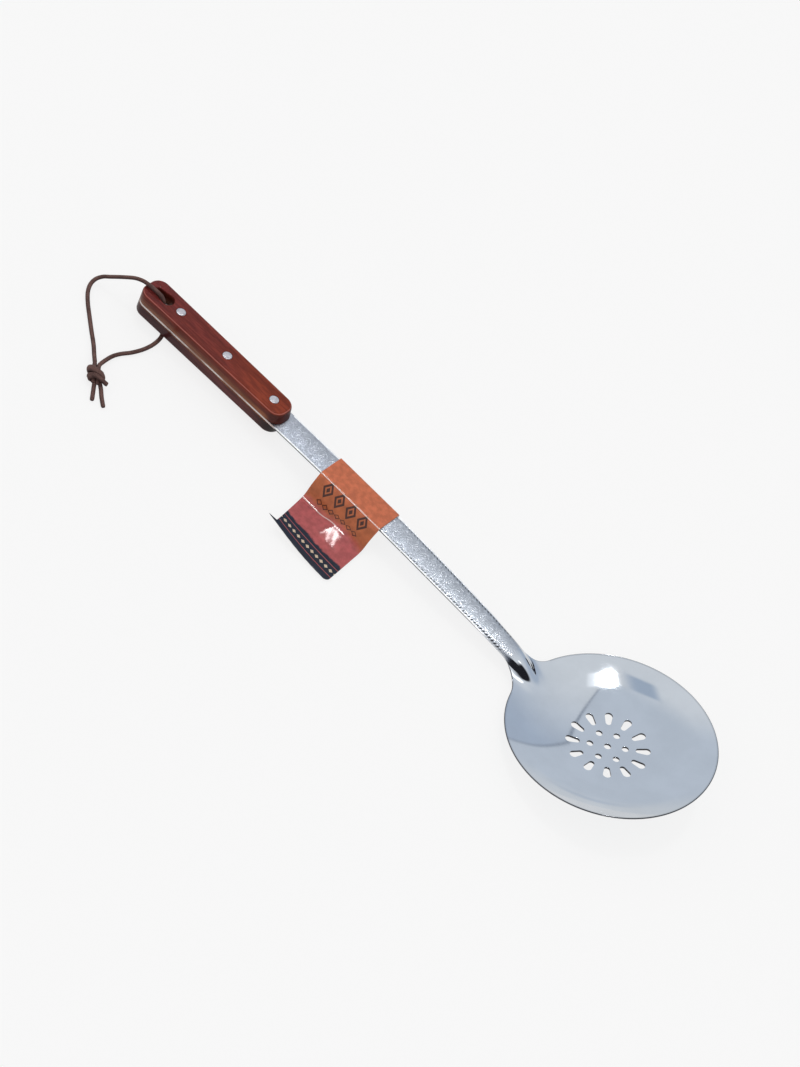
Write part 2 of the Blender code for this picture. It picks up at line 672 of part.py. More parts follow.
def sleeve_mesh(ground):
    """Card looped round the shank, in a frame on the shank's middle line; ground is the floor there."""
    widest = half_width(np.array([GRIP_FRONT_U + SLEEVE_FROM_GRIP]))[0]
    half = widest + CARD_CLEARANCE + 0.5 * CARD_THICKNESS
    over = 0.5 * STEEL_THICKNESS + CARD_CLEARANCE + 0.5 * CARD_THICKNESS
    low = ground + CARD_GROUND_GAP + 0.5 * CARD_THICKNESS
    high = low + CARD_THICKNESS + CARD_LAYER_GAP
    corners = np.array(
        (
            (-half - FRONT_PANEL_REACH, high),
            (-half - FRONT_BEND_OFFSET, high),
            (-half, over),
            (half, over),
            (half, -over - CARD_UNDER_SLACK),
            (-half - BACK_BEND_OFFSET, low),
            (-half - BACK_PANEL_REACH, low),
        )
    )
    fold = CARD_FOLD_RADIUS
    path, normal = rounded_path(corners, (CARD_BEND_RADIUS, fold, fold, fold, CARD_BEND_RADIUS))
    outward = np.clip((-half - path[:, 0]) / FRONT_PANEL_REACH, 0.0, 1.0)
    on_front = np.arange(len(path)) < len(path) // 2
    skew = np.where(on_front, FRONT_PANEL_SKEW, BACK_PANEL_SKEW) * outward
    length = SLEEVE_LENGTH - np.where(on_front, FRONT_PANEL_NARROWING, 0.0) * outward
    lift = np.where(on_front, FRONT_CORNER_LIFT, 0.0) * outward**2
    columns = np.linspace(0.5, -0.5, CARD_COLUMNS)
    sheets = []
    for side in (0.5, -0.5):
        edge = path + side * CARD_THICKNESS * normal
        x = columns[None, :] * length[:, None] + skew[:, None]
        y = np.repeat(edge[:, :1], len(columns), axis=1)
        z = edge[:, 1:] + lift[:, None] * np.maximum(0.5 - columns[None, :], 0.0) ** 2
        sheets.append(np.stack((x, y, z), axis=2).reshape(-1, 3))
    rows = len(path)
    across = len(columns)
    total = rows * across
    faces = []
    for i in range(rows - 1):
        for j in range(across - 1):
            quad = (i * across + j, i * across + j + 1, (i + 1) * across + j + 1, (i + 1) * across + j)
            faces.append(quad)
            faces.append(tuple(p + total for p in reversed(quad)))
    rim = [j for j in range(across)]
    rim += [i * across + across - 1 for i in range(1, rows)]
    rim += [(rows - 1) * across + j for j in range(across - 2, -1, -1)]
    rim += [i * across for i in range(rows - 2, 0, -1)]
    for a, b in zip(rim, rim[1:] + rim[:1]):
        faces.append((b, a, a + total, b + total))
    return mesh_from("label_sleeve", np.vstack(sheets), faces)


def frame_on_shank(name, distance, parent):
    """An empty on the middle line of shank and tang, turned to its slope."""
    x, z, angle = shank_line(np.array([distance]))
    empty = add_empty(name, parent)
    empty.location = (x[0], 0.0, z[0])
    empty.rotation_euler = (0.0, angle[0], 0.0)
    return empty


def local_points(obj):
    points = np.empty(3 * len(obj.data.vertices))
    obj.data.vertices.foreach_get("co", points)
    return points.reshape(-1, 3)


def world_points(objects):
    bpy.context.view_layer.update()
    return np.vstack([[obj.matrix_world @ Vector(p) for p in local_points(obj)] for obj in objects])


def lay_down(root, blade, scales):
    """Tilt and raise the tool so that the bowl touches z = 0 and the lace fits below the grip."""
    bowl = local_points(blade)
    bowl = bowl[bowl[:, 0] > NECK_X]
    distance = SHANK_LENGTH + GRIP_LENGTH - LACE_CROSSING_FROM_END
    x, z, angle = shank_line(np.array([distance]))
    under = -grip_face_height()
    rest = np.array((x[0] + under * math.sin(angle[0]), z[0] + under * math.cos(angle[0])))
    wanted = LACE_GROUND_GAP + LACE_DIAMETER + SEAT_GAP
    low, high = 0.0, 0.5
    for _ in range(60):
        tilt = 0.5 * (low + high)
        floor = (bowl[:, 0] * math.sin(tilt) + bowl[:, 2] * math.cos(tilt)).min()
        height = rest[0] * math.sin(tilt) + rest[1] * math.cos(tilt) - floor
        if height > wanted:
            low = tilt
        else:
            high = tilt
    root.rotation_euler = (0.0, -tilt, 0.0)
    ends = world_points([blade] + scales)
    root.location = (-0.5 * (ends[:, 0].min() + ends[:, 0].max()), 0.0, -floor)


def eye_middle():
    """Place of the eye's wide end along the grip."""
    return -GRIP_LENGTH + EYE_FROM_END + EYE_LENGTH - EYE_FRONT_RADIUS


def smooth_route(route):
    """Points at even spacing on a smooth curve through the points of a route."""
    route = np.asarray(route)
    ends = np.vstack((2.0 * route[0] - route[1], route, 2.0 * route[-1] - route[-2]))
    share = np.linspace(0.0, 1.0, ROUTE_STEPS, endpoint=False)[:, None]
    spans = []
    for a, b, c, d in zip(ends[:-3], ends[1:-2], ends[2:-1], ends[3:]):
        bend = (2.0 * a - 5.0 * b + 4.0 * c - d) * share**2 + (3.0 * b - a - 3.0 * c + d) * share**3
        spans.append(b + 0.5 * ((c - a) * share + bend))
    fine = np.vstack(spans + [route[-1:]])
    length = np.concatenate(([0.0], np.cumsum(np.linalg.norm(np.diff(fine, axis=0), axis=1))))
    even = np.linspace(0.0, length[-1], max(2, round(length[-1] / LACE_POINT_SPACING)) + 1)
    return np.column_stack([np.interp(even, length, fine[:, axis]) for axis in range(3)])


def lace_object(name, route, parent, leather):
    """A length of lace as a round tube along a route."""
    points = smooth_route(route)
    curve = bpy.data.curves.new(name, "CURVE")
    curve.dimensions = "3D"
    curve.bevel_depth = 0.5 * LACE_DIAMETER
    curve.bevel_resolution = 2
    curve.use_fill_caps = True
    spline = curve.splines.new("POLY")
    spline.points.add(len(points) - 1)
    spline.points.foreach_set("co", np.column_stack((points, np.ones(len(points)))).ravel())
    return add_object(name, curve, parent, leather)


def eye_points(places, side, grip, lace_frame):
    """Places given from a face of the grip, as points of the lace's frame; side is 1 above, -1 below."""
    to_lace = lace_frame.matrix_world.inverted() @ grip.matrix_world
    face = grip_face_height()
    points = []
    for x, y, height in places:
        local = Vector((eye_middle() + x * MM, y * MM, side * (face + height * MM)))
        points.append(tuple(to_lace @ local))
    return points


def knot_port(direction, height):
    """Where a strand meets the knot's side, square to it: a point just off it and one further out."""
    turned = direction - KNOT_TURN
    half = 0.5 * np.array((KNOT_LENGTH, KNOT_WIDTH, KNOT_HEIGHT))
    ring = math.sqrt(1.0 - (height / half[2]) ** 2)
    reach = ring / math.hypot(math.cos(turned) / half[0], math.sin(turned) / half[1])
    touch = np.array((reach * math.cos(turned), reach * math.sin(turned), height))
    outward = touch / half**2
    outward /= np.linalg.norm(outward)
    cosine = math.cos(KNOT_TURN)
    sine = math.sin(KNOT_TURN)
    points = []
    for gap in (SEAT_GAP, SEAT_GAP + PORT_LENGTH):
        x, y, z = touch + gap * outward
        points.append(np.array(KNOT_PLACE) * MM + (cosine * x - sine * y, sine * x + cosine * y, z))
    return [tuple(p) for p in points]


def knot_mesh():
    """The knot: an egg-shaped lump with slanting grooves where the lace winds round it."""
    along = np.linspace(0.0, math.pi, KNOT_STEPS + 1)[1:-1]
    round_it = np.linspace(0.0, 2.0 * math.pi, 2 * KNOT_STEPS, endpoint=False)
    polar, turn = np.meshgrid(along, round_it, indexing="ij")
    groove = np.sin(polar) * np.cos(0.5 * KNOT_GROOVES * turn + KNOT_TWIST * polar)
    shrink = 1.0 - KNOT_GROOVE_DEPTH * groove**2 / (0.5 * KNOT_HEIGHT)
    x = 0.5 * KNOT_LENGTH * shrink * np.cos(polar)
    y = 0.5 * KNOT_WIDTH * shrink * np.sin(polar) * np.cos(turn)
    z = 0.5 * KNOT_HEIGHT * shrink * np.sin(polar) * np.sin(turn)
    points = np.stack((x, y, z), axis=2).reshape(-1, 3)
    tips = np.array(((0.5 * KNOT_LENGTH, 0.0, 0.0), (-0.5 * KNOT_LENGTH, 0.0, 0.0)))
    rings, count = polar.shape
    last = rings * count
    faces = []
    for a, b in loop_edges(0, count):
        faces.append((last, a, b))
        faces.append((last + 1, b + last - count, a + last - count))
    for ring in range(rings - 1):
        for a, b in loop_edges(ring * count, count):
            faces.append((a, a + count, b + count, b))
    return mesh_from("lace_knot", np.vstack((points, tips)), faces)


def make_lace(grip, leather):
    """Two strands from the eye to the knot, the knot and its two loose ends."""
    bpy.context.view_layer.update()
    lace_frame = add_empty("lace_frame")
    eye = grip.matrix_world @ Vector((eye_middle(), 0.0, 0.0))
    lace_frame.location = (eye.x, 0.0, 0.0)
    bpy.context.view_layer.update()

    face = grip_face_height() / MM
    gap = 0.5 * SEAT_GAP / MM
    over = eye_points(((*LACE_MEETING, gap - face),) + LACE_EYE_TOP + LACE_OVER_GRIP, 1, grip, lace_frame)
    over += [tuple(np.array(p) * MM) for p in LACE_OVER_ROUTE]
    over += reversed(knot_port(OVER_PORT, STRAND_PORT_HEIGHT))
    under = eye_points(((*LACE_MEETING, gap - face),) + LACE_EYE_BASE, -1, grip, lace_frame)
    under += [tuple(np.array(p) * MM) for p in LACE_UNDER_ROUTE]
    under += reversed(knot_port(UNDER_PORT, STRAND_PORT_HEIGHT))
    lace_object("lace_over", over, lace_frame, leather)
    lace_object("lace_under", under, lace_frame, leather)

    knot = add_object("lace_knot", knot_mesh(), lace_frame, leather)
    knot.location = np.array(KNOT_PLACE) * MM
    knot.rotation_euler = (0.0, 0.0, KNOT_TURN)
    tails = (("long", LONG_TAIL_PORT, LONG_TAIL_ROUTE), ("short", SHORT_TAIL_PORT, SHORT_TAIL_ROUTE))
    for label, port, route in tails:
        points = knot_port(port, TAIL_PORT_HEIGHT) + [tuple(np.array(p) * MM) for p in route]
        lace_object(f"lace_tail_{label}", points, lace_frame, leather)


def main():
    clear_scene()
    steel = material("polished_steel", (0.60, 0.63, 0.68), 0.16, 1.0)
    wood = material("lacquered_wood", (0.19, 0.045, 0.035), 0.32, 0.0)
    rivet_metal = material("rivet_metal", (0.72, 0.73, 0.76), 0.3, 1.0)
    card = material("printed_card", (0.70, 0.25, 0.09), 0.25, 0.0)
    leather = material("brown_leather", (0.115, 0.052, 0.043), 0.6, 0.0)

    root = add_empty("skimmer_frame")
    blade = add_object("blade", blade_mesh(), root, steel)
    grip = frame_on_shank("grip_frame", SHANK_LENGTH, root)
    scales = [make_scale("upper_scale", 1, grip, wood), make_scale("lower_scale", -1, grip, wood)]
    make_rivets(grip, rivet_metal)
    lay_down(root, blade, scales)

    sleeve_frame = frame_on_shank("sleeve_frame", SHANK_LENGTH - SLEEVE_FROM_GRIP - 0.5 * SLEEVE_LENGTH, root)
    bpy.context.view_layer.update()
    ground = -sleeve_frame.matrix_world.translation.z
    add_object("label_sleeve", sleeve_mesh(ground), sleeve_frame, card)
    make_lace(grip, leather)


main()
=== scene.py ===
"""Dressing of a long-handled skimmer: polished blade, lacquered grip, rivets, card sleeve and lace.

Each piece is a surface worked out on a grid of two parameters, or a profile carried along a path.
The blade is planned on its unrolled sheet as (u, v): u runs along the tool and equals x in the
bowl, v runs across it. The sheet is then pressed to shape and the tool laid on the ground.
"""

import math

import bmesh
import bpy
import numpy as np
from bpy.props import FloatProperty, FloatVectorProperty, PointerProperty
from mathutils import Euler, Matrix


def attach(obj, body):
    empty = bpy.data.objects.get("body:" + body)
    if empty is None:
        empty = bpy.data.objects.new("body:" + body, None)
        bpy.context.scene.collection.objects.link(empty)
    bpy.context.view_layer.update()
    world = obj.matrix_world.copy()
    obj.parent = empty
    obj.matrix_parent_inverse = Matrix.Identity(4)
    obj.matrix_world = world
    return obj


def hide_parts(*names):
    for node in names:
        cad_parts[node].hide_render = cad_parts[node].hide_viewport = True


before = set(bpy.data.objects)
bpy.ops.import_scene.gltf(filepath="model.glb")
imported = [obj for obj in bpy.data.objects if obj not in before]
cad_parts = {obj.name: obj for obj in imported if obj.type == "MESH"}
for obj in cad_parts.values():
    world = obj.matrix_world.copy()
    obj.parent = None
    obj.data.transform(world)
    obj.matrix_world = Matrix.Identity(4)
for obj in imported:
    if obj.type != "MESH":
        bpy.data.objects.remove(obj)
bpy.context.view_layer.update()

bl_info = {
    "name": "Skimmer dressing",
    "version": (1, 0, 0),
    "blender": (4, 5, 0),
    "location": "View3D > Sidebar > Skimmer",
    "description": "Builds the visible surfaces of a long-handled skimmer round its solid frame",
    "category": "Object",
}

MM = 0.001
TAU = 2.0 * math.pi
QUARTER = 0.5 * math.pi
SAME_PLACE = 1e-7
SLOPE_STEP = 0.02 * MM
SHARP_ANGLE = math.radians(40.0)
UPWARD = np.array((0.0, 0.0, 1.0))
WHITE = (1.0, 1.0, 1.0)
TOOL_BODY = "skimmer"
SLEEVE_BODY = "sleeve"

# The tool's lie on the ground: its tilt about Y and the place of the bowl rim's centre
TOOL_TILT = math.asin(0.234582)
TOOL_PLACE = np.array((0.169271, 0.0, 0.018383))

# Counts of points on the grids
CAP_STEPS = 10
CAP_LINE_STEPS = 4
SCALE_SIDE_STEPS = 14
SCALE_CROSS_STEPS = 16
SCALE_ROWS = 4
ROUND_STEPS = 48
ROUNDING_STEPS = 8
OUTLINE_STEPS = 60
DOME_STEPS = 6
HEAD_EDGE_STEPS = 5
CARD_ROWS = 150
CARD_COLUMNS = 40
CARD_PATH_STEPS = 8 * CARD_ROWS
LACE_SIDES = 20
LACE_STATION = 0.8 * MM
LEAST_STATIONS = 4
ROUTE_STEPS = 16
KNOT_POINTS = 60
SLOT_COUNT = 12
INNER_HOLE_COUNT = 6
SECTOR_STEPS = 12
HOLE_SIDE_STEPS = 8
SLOT_SIDE_STEPS = 10
RIM_STEPS = SLOT_COUNT * SECTOR_STEPS
NECK_STEPS = 42
BOWL_ROWS = 40
HOLE_ROWS = 5
FILLET_ROWS = 16
SHANK_ROWS = 560
SHANK_COLUMNS = NECK_STEPS
TANG_ROWS = 3
TANG_SIDE_STEPS = 12
TANG_CORNER_STEPS = 10
EDGE_ROWS = 7

# How strongly the shank's columns crowd towards its edges, as an angle, and the largest square of
# the distance across for which the arch still falls
SHANK_CROWDING = 1.15
ARCH_LIMIT = 2.0

RIVET_NAMES = ("rear", "middle", "front")
RIVET_EDGE = 0.25 * MM

# Embossing: places of curl and leaf as shares of the scroll's pitch and reach, the leaf's lobes, the
# notches by the edges, and how the scroll fades beside the notches and at the shank's ends
CURL_SHIFT = 0.06
CURL_OFFSET = 0.40
LEAF_SHIFT = 0.36
LEAF_OFFSET = 1.30
LOBE_BEND = 0.12
LOBE_LEAN = 0.55
LOBE_STEP = 0.9 * MM
LOBE_HALF_WIDTH = 0.55 * MM
LOBE_HALF_LENGTH = 1.3 * MM
NOTCH_SLANT = 0.8
NOTCH_HALF_WIDTH = 0.62 * MM
NOTCH_SHARE = 0.40
NOTCH_LOSS = 0.9
SCROLL_MARGIN = 0.3 * MM
SCROLL_MARGIN_FADE = 0.8 * MM
SCROLL_START = 1.0 * MM
SCROLL_START_FADE = 9.0 * MM
SCROLL_END_FADE = 3.0 * MM

# Steel: where the satin starts in the bowl and how long it takes, how much painted shade darkens the rim
# and the notches, the level above which the shank's edge gets a painted highlight, and the painted
# highlight strip along the shank's face
SATIN_LEAD = 9.0 * MM
SATIN_RUN = 14.0 * MM
RIM_EDGE_SHADE = 0.9
RIM_FACE_SHADE = 0.3
NOTCH_SHADE = 1.5
EDGE_GLINT_LEVEL = 0.675
EDGE_BLEND = 0.25
FACE_GLINT_WIDTH = 0.70 * MM
FACE_GLINT_BLEND = 0.25 * MM

# Card: length over which its hidden part narrows. The buckle in the front panel starts to climb,
# levels out and comes down at these distances from the panel's end, each over a length of its own.
# Each train of waves has a rate across the panel, a rate along it and a wave length.
CARD_NARROWING_RUN = 16.0 * MM
BUCKLE_CLIMB = (18.0 * MM, 4.0 * MM)
BUCKLE_LEVEL = (30.0 * MM, 5.0 * MM)
BUCKLE_END = (34.0 * MM, 12.0 * MM)
BUCKLE_MIDDLE = 8.0 * MM
BUCKLE_HALF_WIDTH = 12.5 * MM
RIPPLES = ((1.0, 0.6, 5.2 * MM), (1.3, -1.0, 7.1 * MM))
TONGUE_RUN = 1.6 * MM
TONGUE_POWER = 8
TONGUE_RISE = 0.17

# Print, in metres from the near fold: where one field gives way to the next, rows of lozenges as
# pitch, middle, half height and shift in pitches, and lines and limits as first and last place.
# Lozenges are counted from a high number, so that none has a negative one.
# Between the rose band and the orange lies the slope field, which is painted shade: the print is coloured
# darker where the card comes down from the shank.
ROSE_TO_SLOPE = (-0.0215, -0.0135)
SLOPE_TO_ORANGE = (-0.006, 0.0015)
NAVY_TO_ROSE = (-0.0387, -0.0373)
LARGE_LOZENGES = (0.0098, -0.0048, 0.0068, 0.0)
CHAIN_LOZENGES = (0.0049, -0.0142, 0.0022, 0.5)
SMALL_LOZENGES = (0.0041, -0.0450, 0.0017, 0.5)
LARGE_ROW = (-0.0195, 0.0195)
CHAIN_ROW = (-0.0172, 0.0172)
OUTER_LINE = (-0.0489, -0.0484)
INNER_LINE = (-0.0416, -0.0411)
WORN_FOLD = (-0.00025, 0.00025)
# The crease line is partly a worn crease in the card and partly a painted highlight along the ground bend.
CREASE = (-0.0201, -0.0194)
CREASE_ROW = (-0.03, 0.005)
CREASE_END = 0.004
PRINT_EDGE = 0.0001
FIRST_LOZENGE = 100.0

# The room that the bowl reflects. A wall joint has a place at eye level and a lean. A field has a
# middle, a reach and a soft edge in each of two directions. The soft box lies in a frame of its own,
# given by its middle as level distances over height and by the directions right and down its face.
LEAST_SHARE = 0.05
WALL_JOINTS = ((0.088, 0.63), (-0.335, 0.109))
BOX_PLACE = (-0.15, 0.246)
BOX_RIGHT = (-3.49, -2.78)
BOX_DOWN = (-3.97, 2.30)
BOX_FIELD = ((0.0, 0.46, 0.06), (0.11, 0.50, 0.08))
SIDE_FIELD = ((1.02, 0.66, 0.20), (-0.26, 0.43, 0.09))
SIDE_SLANT = 0.85
LAMP_FIELD = ((0.29, 0.07, 0.03), (0.33, 0.09, 0.03))
LAMP_LIGHT = (2.0, 2.0, 2.0)
STREAK_FIELD = ((0.10, 0.025, 0.02), (-0.40, 0.10, 0.08))
DOORWAY = (0.22, 0.08, 0.02)

# Route of the lace in mm from the middle of the eye's wide end. In the eye and on the grip the
# third number is the height above the grip's face, or below its lower face. Beside the grip it is
# the height above the ground.
LACE_MEETING = (-0.4, -2.3)
LACE_EYE_TOP = ((-0.4, -2.3, -4.6), (-1.0, -2.4, -1.6), (-3.4, -2.7, 1.0), (-7.0, -3.0, 1.7))
LACE_OVER_GRIP = ((-10.8, -3.1, 1.7), (-14.7, -3.3, 1.6), (-19.4, -4.0, 1.1))
LACE_OVER_ROUTE = (
    (-25.0, -5.2, 19.9),
    (-32.0, -7.4, 15.0),
    (-38.8, -10.1, 10.0),
    (-42.7, -11.6, 7.0),
    (-44.9, -15.1, 4.6),
    (-44.3, -19.8, 2.9),
    (-40.9, -25.0, 1.9),
    (-34.6, -30.9, 1.5),
    (-26.8, -37.0, 1.3),
    (-17.8, -44.0, 1.3),
    (-8.7, -51.0, 1.6),
    (-2.3, -56.9, 2.4),
    (3.4, -62.2, 3.6),
)
LACE_EYE_BASE = ((-0.5, -2.2, -5.4), (-0.8, -1.6, -2.4), (0.0, -1.4, 0.4), (2.1, -2.8, 1.5))
LACE_UNDER_ROUTE = (
    (5.2, -5.0, 1.35),
    (9.3, -7.0, 1.35),
    (11.4, -12.8, 1.35),
    (12.0, -19.8, 1.35),
    (11.2, -27.2, 1.35),
    (9.1, -34.7, 1.35),
    (6.2, -41.4, 1.35),
    (4.8, -47.2, 1.5),
    (5.1, -54.1, 2.4),
    (6.0, -59.8, 3.6),
)
LONG_TAIL_ROUTE = ((14.6, -69.2, 3.2), (19.6, -72.0, 1.6), (24.2, -75.8, 1.35), (30.3, -80.3, 1.35))
SHORT_TAIL_ROUTE = ((13.0, -71.4, 3.0), (15.9, -74.6, 1.6), (18.8, -78.0, 1.35), (22.5, -82.5, 1.35))

# The knot in mm, along its axis, across it and above the ground. A turn has a middle, a swing with
# the cosine and a swing with the sine. The turns are pressed broader than the lace.
KNOT_PLACE = (9.4, -67.4, 0.0)
KNOT_SWING = (-0.6, TAU - 0.4)
KNOT_TURNS = (
    ((1.2, 0.0, 4.35), (-3.0, -4.6, 0.0), (0.0, 0.0, 2.95)),
    ((2.8, 0.0, 3.9), (1.6, -4.0, 0.0), (0.0, 0.0, 2.2)),
)
KNOT_CROSSING = (
    (2.6, -4.4, 2.6),
    (3.2, -3.7, 5.0),
    (4.6, -0.6, 6.6),
    (6.4, 3.0, 6.0),
    (7.5, 5.3, 4.7),
    (8.2, 7.2, 3.9),
)
KNOT_STRANDS = (
    ((-8.2, -0.4, 3.5), (-5.6, -0.8, 4.0), (-2.0, -1.3, 4.6), (3.0, -1.6, 4.4), (7.5, -1.6, 3.1)),
    ((-8.0, 3.3, 3.5), (-5.6, 2.0, 4.0), (-2.0, 1.5, 4.6), (3.0, 1.4, 4.6), (8.5, 1.0, 3.1)),
)
TURN_SPREAD = 1.6
CROSSING_SPREAD = 0.8 * TURN_SPREAD
LACE_END_SHARE = 0.86


def length(name, description, millimetres):
    """A size property, written in millimetres and kept in metres."""
    return FloatProperty(
        name=name, description=description, default=millimetres * MM, unit="LENGTH", precision=5
    )


def turn(name, description, degrees):
    """An angle property, written in degrees and kept in radians."""
    return FloatProperty(
        name=name, description=description, default=math.radians(degrees), subtype="ANGLE", unit="ROTATION"
    )


def share(name, description, value):
    """A number from 0 to 1."""
    return FloatProperty(
        name=name, description=description, default=value, min=0.0, max=1.0, subtype="FACTOR"
    )


def tint(name, description, red, green, blue):
    """A colour in linear light."""
    return FloatVectorProperty(
        name=name, description=description, default=(red, green, blue),
        min=0.0, max=1.0, size=3, subtype="COLOR",
    )


class BladeSizes(bpy.types.PropertyGroup):
    """Sizes and finish of the steel stamping."""

    thickness: length("Thickness", "Steel at the bowl's middle, shank and tang", 1.5)
    rim_thickness: length("Rim thickness", "Steel at the bowl's rim", 0.9)
    rim_thinning: length("Rim thinning", "Width over which the steel thins to the rim", 20.0)
    edge_round: length("Edge rounding", "How far the cut edges bulge", 0.3)
    hole_round: length("Hole rounding", "How far the edges of the perforations bulge", 0.08)
    bowl_radius: length("Bowl radius", "Rim radius on the middle of the sheet", 65.0)
    bowl_depth: length("Bowl depth", "Depth of the dish below its rim", 12.2)
    centre_curve: length("Centre curve", "Radius of curvature at the bowl's middle", 250.0)
    slot_ring: length("Slot ring", "Radius of the ring of slots", 21.6)
    slot_length: length("Slot length", "Length of one slot", 9.0)
    slot_outer: length("Slot outer radius", "Round end away from the centre", 2.45)
    slot_inner: length("Slot inner radius", "Round end towards the centre", 1.7)
    hole_ring: length("Hole ring", "Radius of the ring of holes", 10.8)
    hole_diameter: length("Hole diameter", "Diameter of a hole in the ring", 4.1)
    centre_diameter: length("Centre hole", "Diameter of the hole at the centre", 4.3)
    inner_border: length("Inner border", "Radius between centre hole and ring of holes", 7.0)
    middle_border: length("Middle border", "Radius between holes and slots", 15.0)
    outer_border: length("Outer border", "Radius outside the slots", 28.2)
    pattern_turn: turn("Pattern turn", "Turn of the perforations about the bowl's axis", 4.5)
    neck_reach: length("Neck reach", "From the rim to the start of the shank", 13.0)
    neck_rise: length("Neck rise", "Height of the shank's start above the rim", 10.2)
    neck_width: length("Neck width", "Width of the shank at the neck", 14.8)
    neck_slope: turn("Neck slope", "Slope of the shank at the neck", 17.2)
    neck_fillet: length("Neck fillet", "Radius between rim and shank", 18.0)
    lift_nose: length("Lift nose", "How far the neck's lift runs into the bowl", 15.0)
    lift_half_width: length("Lift half width", "Half width of the neck's lift in the bowl", 7.0)
    edge_drop: length("Edge drop", "How far the sheet beside the rib sinks at the neck", 3.0)
    rib_height: length("Rib height", "Height of the pressed rib at the neck", 3.2)
    rib_overhang: length("Rib overhang", "How much wider the rib is than the shank on each side", 0.3)
    rib_spread: length("Rib spread", "How much the rib widens along the shank before it ends", 2.0)
    rib_power: FloatProperty(
        name="Rib power", description="Steepness of the rib's flanks", default=8.0
    )
    rib_fade: length("Rib fade", "Length along the shank over which rib and drop fade", 45.0)
    rib_nose: length("Rib nose", "How far the rib's end runs into the bowl", 4.5)
    rib_nose_length: length("Rib nose length", "Length over which the rib's end is rounded in plan", 27.5)
    arch_height: length("Arch height", "How far the shank's sides fall below its middle at the neck", 0.9)
    arch_fade: length("Arch fade", "Length along the shank over which the arch fades", 130.0)
    lip_drop: length("Lip drop", "How far the lip flattens out of the dish's curve", 0.3)
    lip_width: length("Lip width", "Width of the flattened lip", 9.0)
    shank_length: length("Shank length", "From the neck to the grip", 199.5)
    shank_width: length("Shank width", "Width of the shank at the grip", 18.2)
    shank_taper_power: FloatProperty(
        name="Taper power", description="How late the shank narrows to the neck", default=4.0
    )
    grip_slope: turn("Grip slope", "Slope of the grip above the rim plane", 12.4)
    scroll_pitch: length("Scroll pitch", "Length of one bend of the embossed scroll", 7.4)
    scroll_reach: length("Scroll reach", "How far the scroll's stem swings to each side", 4.2)
    scroll_line: length("Scroll line", "Half width of an embossed line", 0.34)
    scroll_height: length("Scroll height", "Height of the embossing", 0.07)
    curl_radius: length("Curl radius", "Radius of the spiral curls", 2.8)
    curl_spacing: length("Curl spacing", "Distance between turns of a curl", 1.3)
    notch_pitch: length("Notch pitch", "Distance between border notches", 2.5)
    notch_inset: length("Notch inset", "Distance of the notches from the edge", 1.45)
    notch_depth: length("Notch depth", "Depth of the border notches at the neck", 0.16)
    notch_fade: length("Notch fade", "Length along the shank over which the notches grow shallow", 180.0)
    steel: tint("Steel", "Colour of the polished steel", 0.60, 0.63, 0.67)
    # The next three colours are painted light: painted shade, near black, on the cut edges, hole walls,
    # notches and the shank's lower edge, and a painted highlight, near white, on the shank's upper edge.
    cut_edge_shade: tint("Cut edge", "Colour of the sheared edges", 0.05, 0.05, 0.055)
    shank_edge_shade: tint("Shank edge", "Colour of the shank's notches and lower edge", 0.05, 0.055, 0.06)
    edge_glint: tint("Sheared edge", "Colour of the shank's bright upper edge", 0.97, 0.97, 0.97)
    tarnish: tint("Tarnish", "Colour of the tang's edge between the scales", 0.34, 0.22, 0.18)
    worn_tang: tint("Worn tang", "Colour of that edge where it is rubbed", 0.62, 0.55, 0.53)
    mirror_roughness: share("Mirror roughness", "Roughness of the polished bowl", 0.055)
    satin_roughness: share("Satin roughness", "Roughness of the embossed shank", 0.41)


